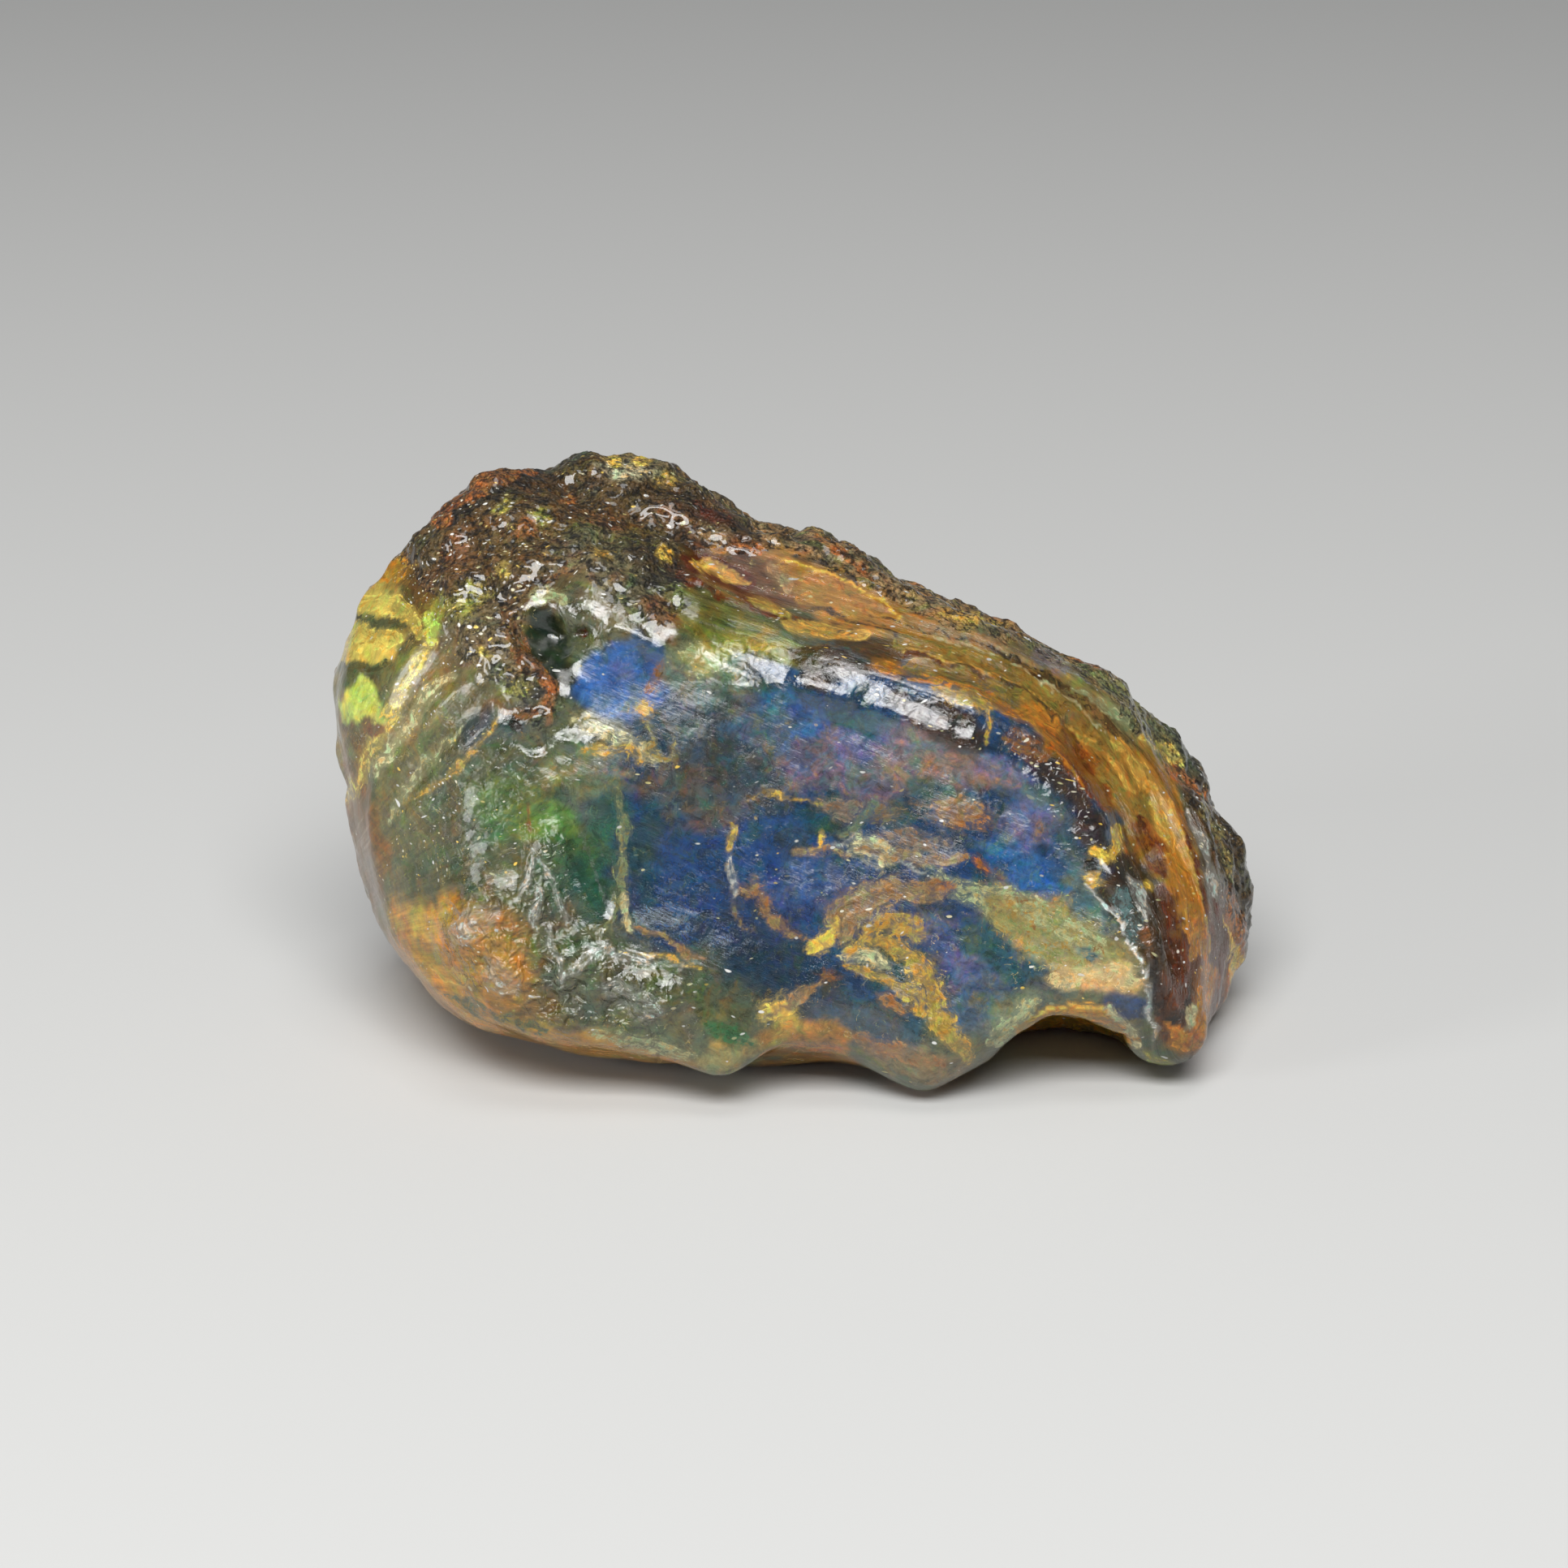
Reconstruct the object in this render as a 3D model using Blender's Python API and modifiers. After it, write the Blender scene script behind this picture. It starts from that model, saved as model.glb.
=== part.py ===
"""Dominican blue amber: one polished nugget that keeps its weathered rind.

The stone lies on its own base. +X runs to its right and -Y is the polished
window in front. The origin is under the middle of the stone, on the base.
All sizes are in millimetres until the mesh is written in metres.
"""
import math

import bmesh
import bpy
import numpy as np
from mathutils import Vector, noise
from mathutils.bvhtree import BVHTree

MM = 0.001
NAME = "amber_nugget"

# The tumbled form: flat faces round a heart, worn into each other.
# Each face has its azimuth (0 front, 90 right), its elevation and its distance from the heart.
HEART = (-0.25, -1.2, 11.6)
EDGE_WEAR = 16.0
FACES = {
    "window": (2, 19, 6.0),
    "window_foot": (2, -50, 12.1),
    "left_flank": (-42, 10, 13.4),
    "left_end": (-90, -8, 19.7),
    "left_brow": (-58, 32, 16.4),
    "rind_front": (-22, 50, 10.8),
    "rind_shoulder": (-108, 40, 20.6),
    "rind_top": (-140, 60, 16.8),
    "crown": (180, 70, 15.0),
    "long_slope": (128, 56, 9.5),
    "top_band": (36, 68, 7.6),
    "band_fall": (65, 38, 11.0),
    "right_shoulder": (107, 37, 15.5),
    "right_end": (90, -2, 20.6),
    "right_front": (60, 2, 17.2),
    "right_heel": (75, -40, 22.9),
    "back": (178, 6, 9.8),
    "back_left": (-140, 8, 15.4),
    "back_right": (140, 8, 15.4),
    "back_under": (172, -45, 12.8),
    "left_under": (-34, -64, 14.0),
    "left_heel": (-78, -34, 18.7),
    "base": (0, -90, 12.2),
}
GRID_CUTS = 63
GRID_HALF = (20.0, 10.0, 13.0)
SKIN_GRID = 0.30
TRIANGLES = 9600

# Marks on the stone are placed as they are seen: millimetres right of and above the
# sight point, by an eye in front of the window and a little above it.
SIGHT = (-0.2, 1.5, 11.2)
EYE_ELEVATION = 22.0
EYE_DISTANCE = 190.0
STEP_ALONG = 0.4

# The scoop under the window's right half, an ellipsoid: centre, half sizes
SCOOP_AT = (11.7, -11.3, -1.0)
SCOOP_HALF = (4.9, 9.0, 5.2)

# Folds: the seen path, how wide and how high. A groove is a negative height.
FOLDS = {
    "brow_groove": ([(-11.2, 13.3), (-9.4, 11.5), (-7.3, 10.5), (-4.8, 9.8), (-2.3, 8.2), (0.9, 6.8), (3.3, 6.2)], 0.9, -0.55),
    "saddle": ([(-1.2, 12.5), (-0.9, 10.9), (-0.6, 9.4)], 1.1, -0.7),
    "far_valley": ([(3.6, 9.4), (6.8, 7.4), (12.0, 4.7), (15.9, 1.8), (18.0, -1.0), (19.3, -4.7)], 1.1, -0.55),
    "outer_flow": ([(-0.2, 9.4), (1.6, 9.0), (3.3, 7.8), (6.1, 6.4), (9.6, 5.3), (12.4, 4.0), (15.2, 1.8), (17.3, -1.0), (18.4, -5.2), (18.4, -8.0)], 0.7, 0.45),
    "inner_flow": ([(3.6, 6.2), (6.8, 5.8), (9.6, 4.6), (12.1, 3.4), (14.1, 2.1), (15.9, 0.1), (16.6, -2.4), (17.8, -5.2), (17.9, -9.0)], 0.55, 0.4),
    "orange_channel": ([(12.4, 2.3), (13.2, 0.4), (14.3, -1.0), (14.6, -2.7), (15.6, -4.6), (16.5, -7.0), (16.9, -9.6)], 0.75, -0.6),
    "bead": ([(0.3, 5.3), (2.6, 4.3), (5.1, 3.4), (7.6, 2.5), (9.3, 1.5), (11.5, 0.2), (12.7, -1.2), (13.2, -3.0), (13.4, -4.2)], 0.85, 0.55),
    "window_crest": ([(13.4, -4.2), (14.5, -5.8), (15.5, -7.6), (16.0, -9.7), (16.2, -11.4)], 0.5, 0.6),
    "left_bead": ([(-9.4, 8.7), (-8.0, 8.0), (-5.9, 6.2), (-4.3, 5.0)], 0.75, 0.5),
    "flank_fold_1": ([(-14.4, 7.3), (-16.5, 4.8), (-17.6, 2.3), (-18.1, -1.2), (-18.3, -4.7)], 0.55, 0.35),
    "flank_fold_2": ([(-13.0, 4.1), (-15.1, 2.7), (-16.8, 0.2), (-17.6, -3.0)], 0.5, 0.3),
    "flank_fold_3": ([(-11.5, 2.7), (-13.7, 1.3), (-15.8, -0.8), (-16.8, -3.3)], 0.5, 0.3),
    "crease_stem": ([(-10.7, -2.8), (-9.8, -4.4), (-9.2, -5.8), (-8.4, -6.9), (-7.3, -7.2)], 0.45, 0.35),
    "crease_branch": ([(-10.7, -2.8), (-11.0, -4.7), (-11.3, -6.5)], 0.45, 0.3),
    "rim_groove": ([(-16.0, -8.2), (-13.0, -9.8), (-9.4, -10.7), (-5.9, -11.2)], 0.6, -0.2),
    "heel_groove": ([(18.9, -3.0), (19.6, -6.5), (19.2, -10.0), (17.8, -11.8)], 0.6, -0.4),
    "back_ridge_high": ([(14.0, 6.0, 16.0), (6.0, 8.0, 18.5), (-4.0, 9.0, 19.0), (-12.0, 7.5, 17.0)], 1.0, 0.6),
    "back_ridge_low": ([(17.0, 4.0, 9.0), (8.0, 8.0, 10.5), (-2.0, 9.0, 9.0), (-13.0, 7.0, 10.5)], 1.0, 0.55),
    "back_groove": ([(16.0, 5.0, 12.5), (6.0, 8.5, 14.5), (-5.0, 9.0, 14.0), (-15.0, 6.5, 13.0)], 0.9, -0.6),
}

# Lumps and hollows: the seen place, the two half sizes across and up, and the height
LUMPS = {
    "crown_dome": ((-5.6, 12.9), (3.2, 2.4), 0.5),
    "far_knob": ((1.6, 10.5), (1.6, 1.0), 0.6),
    "far_swell": ((13.6, 3.4), (3.6, 1.6), 0.7),
    "shine_bump": ((-8.5, 8.0), (1.3, 1.1), 0.5),
    "lip_upper": ((-11.7, 3.5), (0.8, 0.7), 0.4),
    "lip_lower": ((-11.4, 1.9), (1.0, 0.6), 0.4),
    "lens_1": ((6.3, 4.4), (2.4, 0.7), 0.35),
    "lens_2": ((-1.2, 9.4), (1.3, 0.6), 0.3),
    "lens_3": ((1.6, 8.6), (1.5, 0.6), 0.3),
    "toe_left": ((-12.9, -7.0), (2.4, 1.9), 0.75),
    "toe_right": ((-5.6, -8.8), (2.8, 1.5), 0.5),
    "left_cheek": ((-19.0, 3.4), (1.6, 3.0), 0.5),
    "small_foot": ((-3.1, -12.4), (1.7, 1.1), 1.2),
    "lobe": ((5.6, -12.6), (2.4, 2.0), 1.5),
    "right_foot": ((16.6, -11.6), (1.6, 1.6), 1.6),
}

# Pits: as the lumps, but with a flat bottom and steep sides
PITS = {
    "hollow": ((-10.7, 5.6), (1.25, 1.1), -1.3),
    "pinhole": ((-9.0, 5.7), (0.45, 0.45), -0.5),
    "flow_pit": ((15.7, -4.0), (0.6, 0.9), -0.5),
}

# Rind: the weathered skin, thicker than the polished stone by this much, inside this seen outline
RIND_THICKNESS = 0.4
RIND_EDGE = 0.5
RIND_OUTLINE = [
    (-18.5, 12.0), (-15.3, 7.4), (-14.3, 4.6), (-12.3, 3.6), (-11.4, 1.6), (-9.3, 2.4), (-9.5, 4.6), (-11.0, 6.0),
    (-10.6, 8.2), (-8.6, 9.4), (-5.8, 7.2), (-4.0, 5.9), (-3.4, 7.4), (-4.6, 9.4), (-2.0, 8.6), (1.0, 7.6),
    (3.4, 7.0), (8.0, 6.6), (12.4, 4.6), (16.2, 1.6), (18.6, -3.0), (19.2, -9.0), (17.6, -13.5),
    (24.0, -10.0), (24.0, 18.0), (-16.0, 18.0),
]
SKIN_WAVE = (6.0, 0.35)
RIND_WAVE = (1.7, 0.5)


def direction(azimuth, elevation):
    """Unit vector: azimuth 0 is the front, 90 the right; elevation is above the horizon."""
    a, e = math.radians(azimuth), math.radians(elevation)
    return np.array((math.sin(a) * math.cos(e), -math.cos(a) * math.cos(e), math.sin(e)))


TO_EYE = direction(0, EYE_ELEVATION)
SIGHT_RIGHT = np.array((1.0, 0.0, 0.0))
SIGHT_UP = np.cross(SIGHT_RIGHT, -TO_EYE)
EYE = np.array(SIGHT) + TO_EYE * EYE_DISTANCE


def smooth_step(value):
    value = np.clip(value, 0.0, 1.0)
    return value * value * (3.0 - 2.0 * value)


def stone_radius(rays):
    """How far the worn stone reaches from its heart along each unit ray."""
    total = np.zeros(len(rays))
    for azimuth, elevation, distance in FACES.values():
        reach = np.clip(rays @ direction(azimuth, elevation), 0.0, None) / distance
        total += reach ** EDGE_WEAR
    return total ** (-1.0 / EDGE_WEAR)


def worn_stone():
    """The tumbled form: an even ball grid blown out to the worn faces."""
    bm = bmesh.new()
    bmesh.ops.create_cube(bm, size=2.0)
    bmesh.ops.subdivide_edges(bm, edges=bm.edges[:], cuts=GRID_CUTS, use_grid_fill=True)
    rays = np.array([v.co.normalized() for v in bm.verts]) * GRID_HALF
    rays /= np.linalg.norm(rays, axis=1)[:, None]
    points = np.array(HEART) + rays * stone_radius(rays)[:, None]
    for vert, point in zip(bm.verts, points):
        vert.co = Vector(point)
    mesh = bpy.data.meshes.new(NAME)
    bm.to_mesh(mesh)
    bm.free()
    return mesh


def scoop_cutter():
    bm = bmesh.new()
    bmesh.ops.create_uvsphere(bm, u_segments=48, v_segments=32, radius=1.0)
    bmesh.ops.scale(bm, vec=SCOOP_HALF, verts=bm.verts[:])
    bmesh.ops.translate(bm, vec=SCOOP_AT, verts=bm.verts[:])
    mesh = bpy.data.meshes.new("scoop")
    bm.to_mesh(mesh)
    bm.free()
    cutter = bpy.data.objects.new("scoop", mesh)
    cutter.hide_render = True
    cutter.display_type = "WIRE"
    cutters = bpy.data.collections.new("cutters")
    bpy.context.scene.collection.children.link(cutters)
    cutters.objects.link(cutter)
    return cutter


def scooped(stone):
    """Cuts the scoop and relays the skin as one even grid, so that relief can be pressed into it."""
    cut = stone.modifiers.new("scoop", "BOOLEAN")
    cut.operation = "DIFFERENCE"
    cut.object = scoop_cutter()
    skin = stone.modifiers.new("skin", "REMESH")
    skin.mode = "VOXEL"
    skin.voxel_size = SKIN_GRID
    even = stone.modifiers.new("even", "SMOOTH")
    even.factor = 0.5
    even.iterations = 6
    graph = bpy.context.evaluated_depsgraph_get()
    mesh = bpy.data.meshes.new_from_object(stone.evaluated_get(graph))
    bpy.data.objects.remove(stone)
    return mesh


def read_mesh(mesh):
    points = np.empty(len(mesh.vertices) * 3, np.float32)
    mesh.vertices.foreach_get("co", points)
    normals = np.empty(len(mesh.vertices) * 3, np.float32)
    mesh.vertex_normals.foreach_get("vector", normals)
    return points.reshape(-1, 3).astype(float), normals.reshape(-1, 3).astype(float)


def seen(points):
    """Where the eye sees these points, in millimetres right of and above the sight point."""
    offset = points - EYE
    nearness = EYE_DISTANCE / -(offset @ TO_EYE)
    return np.stack((offset @ SIGHT_RIGHT * nearness, offset @ SIGHT_UP * nearness), 1)


def on_skin(tree, place):
    """The point of the skin at a seen place (two numbers), or nearest to a place in space (three)."""
    if len(place) == 3:
        return np.array(tree.find_nearest(Vector(place))[0])
    aim = np.array(SIGHT) + SIGHT_RIGHT * place[0] + SIGHT_UP * place[1]
    hit = tree.ray_cast(Vector(EYE), Vector(aim - EYE).normalized())[0]
    return np.array(hit if hit is not None else tree.find_nearest(Vector(aim))[0])


def curved(path, rounds=2):
    """The path with its corners cut, so that it bends smoothly."""
    path = np.array(path, float)
    for _ in range(rounds):
        near = path[:-1] * 0.75 + path[1:] * 0.25
        far = path[:-1] * 0.25 + path[1:] * 0.75
        path = np.concatenate((path[:1], np.stack((near, far), 1).reshape(-1, path.shape[1]), path[-1:]))
    return path


def laid(tree, path):
    """A seen path laid on the skin as close points."""
    path = curved(path)
    laid_points = []
    for start, end in zip(path[:-1], path[1:]):
        count = max(1, int(np.linalg.norm(end - start) / STEP_ALONG))
        laid_points += [on_skin(tree, start + (end - start) * k / count) for k in range(count)]
    laid_points.append(on_skin(tree, path[-1]))
    return np.array(laid_points)


def fold_rise(points, line, width, height):
    """A rounded fold along the line, dying out at both ends."""
    nearest = np.full(len(points), 1e9)
    along = np.zeros(len(points))
    for k, (start, end) in enumerate(zip(line[:-1], line[1:])):
        span = end - start
        share = np.clip((points - start) @ span / max(span @ span, 1e-9), 0.0, 1.0)
        distance = np.linalg.norm(points - start - share[:, None] * span, axis=1)
        closer = distance < nearest
        nearest[closer] = distance[closer]
        along[closer] = (k + share[closer]) / (len(line) - 1)
    ends = smooth_step(np.minimum(along, 1.0 - along) * 6.0)
    return height * np.exp(-((nearest / width) ** 2)) * (0.25 + 0.75 * ends)


def lump_rise(points, centre, half_sizes, height, steepness=1):
    across = (points - centre) @ SIGHT_RIGHT / half_sizes[0]
    rest = points - centre - ((points - centre) @ SIGHT_RIGHT)[:, None] * SIGHT_RIGHT
    up = np.linalg.norm(rest, axis=1) / half_sizes[1]
    return height * np.exp(-((across ** 2 + up ** 2) ** steepness))


def inside_outline(places, outline, edge):
    """1 inside the seen outline, 0 outside, with a soft edge."""
    outline = np.array(outline, float)
    inside = np.zeros(len(places), bool)
    nearest = np.full(len(places), 1e9)
    for start, end in zip(outline, np.roll(outline, -1, axis=0)):
        span = end - start
        share = np.clip((places - start) @ span / (span @ span), 0.0, 1.0)
        nearest = np.minimum(nearest, np.linalg.norm(places - start - share[:, None] * span, axis=1))
        crosses = (start[1] > places[:, 1]) != (end[1] > places[:, 1])
        rise = np.where(end[1] == start[1], 1e-9, end[1] - start[1])
        inside ^= crosses & (places[:, 0] < start[0] + (places[:, 1] - start[1]) * span[0] / rise)
    return smooth_step(0.5 + np.where(inside, nearest, -nearest) / edge)


def wave(points, length, height, octaves=3):
    """Rolling fractal relief of about this length and height."""
    return height * np.array([noise.fractal(Vector(p / length), 0.9, 2.0, octaves) for p in points])


def rind_cover(points, normals):
    """1 where the stone keeps its rind: inside the outline in front, and over the whole back."""
    front = inside_outline(seen(points), RIND_OUTLINE, RIND_EDGE)
    facing = smooth_step(normals @ TO_EYE * 3.0 + 0.5)
    under = smooth_step((2.5 - points[:, 2]) / 1.5)
    back = 1.0 - under
    return front * facing + back * (1.0 - facing)


def carved(mesh):
    """Presses the folds, lumps and rind into the skin and flattens the base."""
    points, normals = read_mesh(mesh)
    tree = BVHTree.FromPolygons(points.tolist(), [tuple(p.vertices) for p in mesh.polygons])
    rise = wave(points, *SKIN_WAVE)
    for path, width, height in FOLDS.values():
        rise += fold_rise(points, laid(tree, path), width, height)
    for place, half_sizes, height in LUMPS.values():
        rise += lump_rise(points, on_skin(tree, place), half_sizes, height)
    for place, half_sizes, height in PITS.values():
        rise += lump_rise(points, on_skin(tree, place), half_sizes, height, steepness=2)
    rind = rind_cover(points, normals)
    rise += rind * (RIND_THICKNESS + wave(points + 40.0, *RIND_WAVE, octaves=4))
    points += normals * rise[:, None]
    points[:, 2] = np.maximum(points[:, 2], 0.0)
    low, high = points.min(0), points.max(0)
    points -= ((low[0] + high[0]) / 2, (low[1] + high[1]) / 2, low[2])
    mesh.vertices.foreach_set("co", (points * MM).astype(np.float32).ravel())
    mesh.update()


def amber_material():
    material = bpy.data.materials.new("blue_amber")
    material.use_nodes = True
    shader = material.node_tree.nodes["Principled BSDF"]
    shader.inputs["Base Color"].default_value = (0.09, 0.11, 0.07, 1.0)
    shader.inputs["Roughness"].default_value = 0.12
    shader.inputs["Metallic"].default_value = 0.0
    return material


def main():
    for obj in list(bpy.data.objects):
        bpy.data.objects.remove(obj)
    collection = bpy.data.collections.new("dominican_blue_amber")
    bpy.context.scene.collection.children.link(collection)
    rough = bpy.data.objects.new("rough_stone", worn_stone())
    bpy.context.scene.collection.objects.link(rough)
    mesh = scooped(rough)
    carved(mesh)
    mesh.name = NAME
    stone = bpy.data.objects.new(NAME, mesh)
    collection.objects.link(stone)
    mesh.materials.clear()
    mesh.materials.append(amber_material())
    mesh.shade_smooth()
    fewer = stone.modifiers.new("fewer_faces", "DECIMATE")
    fewer.ratio = TRIANGLES / (2.0 * len(mesh.polygons))


main()
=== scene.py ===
"""Dominican blue amber: the looks of one polished nugget that keeps its weathered rind.

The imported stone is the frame. Its skin is laid again here as a fine mesh, the small relief is
pressed into it, its colours are painted on its points, and it gets two finishes: clear polished
amber, and dull weathered rind. Sizes are in millimetres until the skin is written in metres.
"""
import math

import bmesh
import bpy
import numpy as np
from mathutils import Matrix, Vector, noise


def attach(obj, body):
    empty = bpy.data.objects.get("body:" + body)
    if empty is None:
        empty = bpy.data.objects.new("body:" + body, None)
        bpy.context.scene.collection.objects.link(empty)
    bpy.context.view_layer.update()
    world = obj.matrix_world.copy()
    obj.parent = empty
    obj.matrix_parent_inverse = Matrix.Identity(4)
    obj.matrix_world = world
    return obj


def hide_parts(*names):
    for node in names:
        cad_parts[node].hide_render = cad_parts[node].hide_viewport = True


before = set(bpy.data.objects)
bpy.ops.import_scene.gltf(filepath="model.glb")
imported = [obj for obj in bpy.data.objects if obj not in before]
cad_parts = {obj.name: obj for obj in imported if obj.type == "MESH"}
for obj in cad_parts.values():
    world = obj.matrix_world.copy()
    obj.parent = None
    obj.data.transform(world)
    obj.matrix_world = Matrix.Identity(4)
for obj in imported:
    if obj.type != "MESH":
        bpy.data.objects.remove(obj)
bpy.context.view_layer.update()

MM = 0.001
NODE = "amber_nugget"

# Marks are placed as they are seen: millimetres right of and above the sight point, by an eye
# in front of the polished window and a little above it.
SIGHT = (-0.2, 1.5, 11.2)
EYE_ELEVATION = 22.0
EYE_DISTANCE = 190.0

# The camera looks at this point from the eye's elevation. What it sees starts and ends in metres.
CAMERA_TARGET = (-0.6, 1.5, 10.3)
LENS = 100.0
SENSOR = 36.0
NEAREST_SEEN = 0.01
FARTHEST_SEEN = 10.0

# The fine skin, with fewer faces on the side that the eye doesn't see
SKIN_GRID = 0.168
SKIN_EVENING = 0.5
SKIN_EVEN_ROUNDS = 8
HIDDEN_FROM = -0.1
HIDDEN_SHARE = 0.68

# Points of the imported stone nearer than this, in metres, are one
SAME_POINT = 1e-6

# Where a search for the nearest starts, and what stands in for nothing in a division
FAR_AWAY = 1e9
TINY = 1e-9

# How bright the paint is for this studio's light, and the brightest that it gets
AMBER_GAIN = 0.89
RIND_GAIN = 0.73
MOST_PAINT = 0.92

# Widths of soft edges, as a share of each ground's own softness and of a crowd's half size
EDGE_WIDTH = 0.75
CROWD_EDGE = 0.8

# Colours, as red, green and blue from 0 to 255
COLOURS = {
    "moss": (84, 90, 64),
    "deep_blue": (38, 64, 94),
    "ink_blue": (28, 54, 86),
    "royal_blue": (38, 70, 118),
    "pool_blue": (56, 94, 150),
    "pool_light": (72, 122, 178),
    "navy": (36, 60, 96),
    "indigo": (56, 78, 120),
    "bright_blue": (54, 102, 158),
    "steel": (74, 96, 118),
    "violet": (96, 101, 140),
    "mauve": (106, 98, 122),
    "plum": (124, 110, 112),
    "dusk": (60, 68, 74),
    "dusk_brown": (82, 80, 72),
    "rose_brown": (124, 108, 92),
    "brown": (112, 98, 74),
    "orange_brown": (146, 110, 70),
    "teal": (48, 86, 94),
    "dark_teal": (32, 66, 72),
    "teal_grey": (84, 104, 104),
    "forest": (52, 92, 58),
    "deep_green": (34, 76, 60),
    "grass": (92, 122, 58),
    "lime": (112, 148, 58),
    "olive": (116, 120, 82),
    "olive_dark": (84, 86, 54),
    "olive_gold": (140, 130, 78),
    "olive_pale": (158, 160, 116),
    "green_band": (104, 104, 48),
    "grey_green": (104, 116, 92),
    "grey": (120, 124, 108),
    "blue_grey": (62, 76, 84),
    "ochre": (150, 122, 82),
    "gold": (182, 148, 64),
    "gold_bright": (236, 196, 80),
    "gold_pale": (190, 182, 136),
    "yellow_glow": (208, 186, 88),
    "lime_glow": (192, 210, 92),
    "yellow_green": (150, 146, 62),
    "cream": (206, 196, 156),
    "peach": (202, 176, 122),
    "white": (226, 226, 222),
    "silver": (168, 168, 160),
    "flow_orange": (190, 126, 40),
    "flow_amber": (160, 112, 40),
    "flow_deep": (122, 62, 18),
    "flow_brown": (92, 50, 20),
    "flow_olive": (136, 112, 48),
    "flow_gold": (212, 164, 72),
    "chestnut": (96, 44, 12),
    "maroon": (84, 34, 14),
    "rust": (122, 80, 44),
    "rust_orange": (160, 98, 46),
    "umber": (76, 56, 28),
    "rind_brown": (94, 72, 38),
    "rind_dark": (58, 44, 26),
    "rind_olive": (92, 82, 40),
    "rind_grey": (116, 102, 70),
    "hollow_green": (30, 42, 28),
    "edge_gold": (186, 134, 40),
    "edge_brown": (122, 88, 34),
    "black_brown": (30, 24, 18),
}

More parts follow.
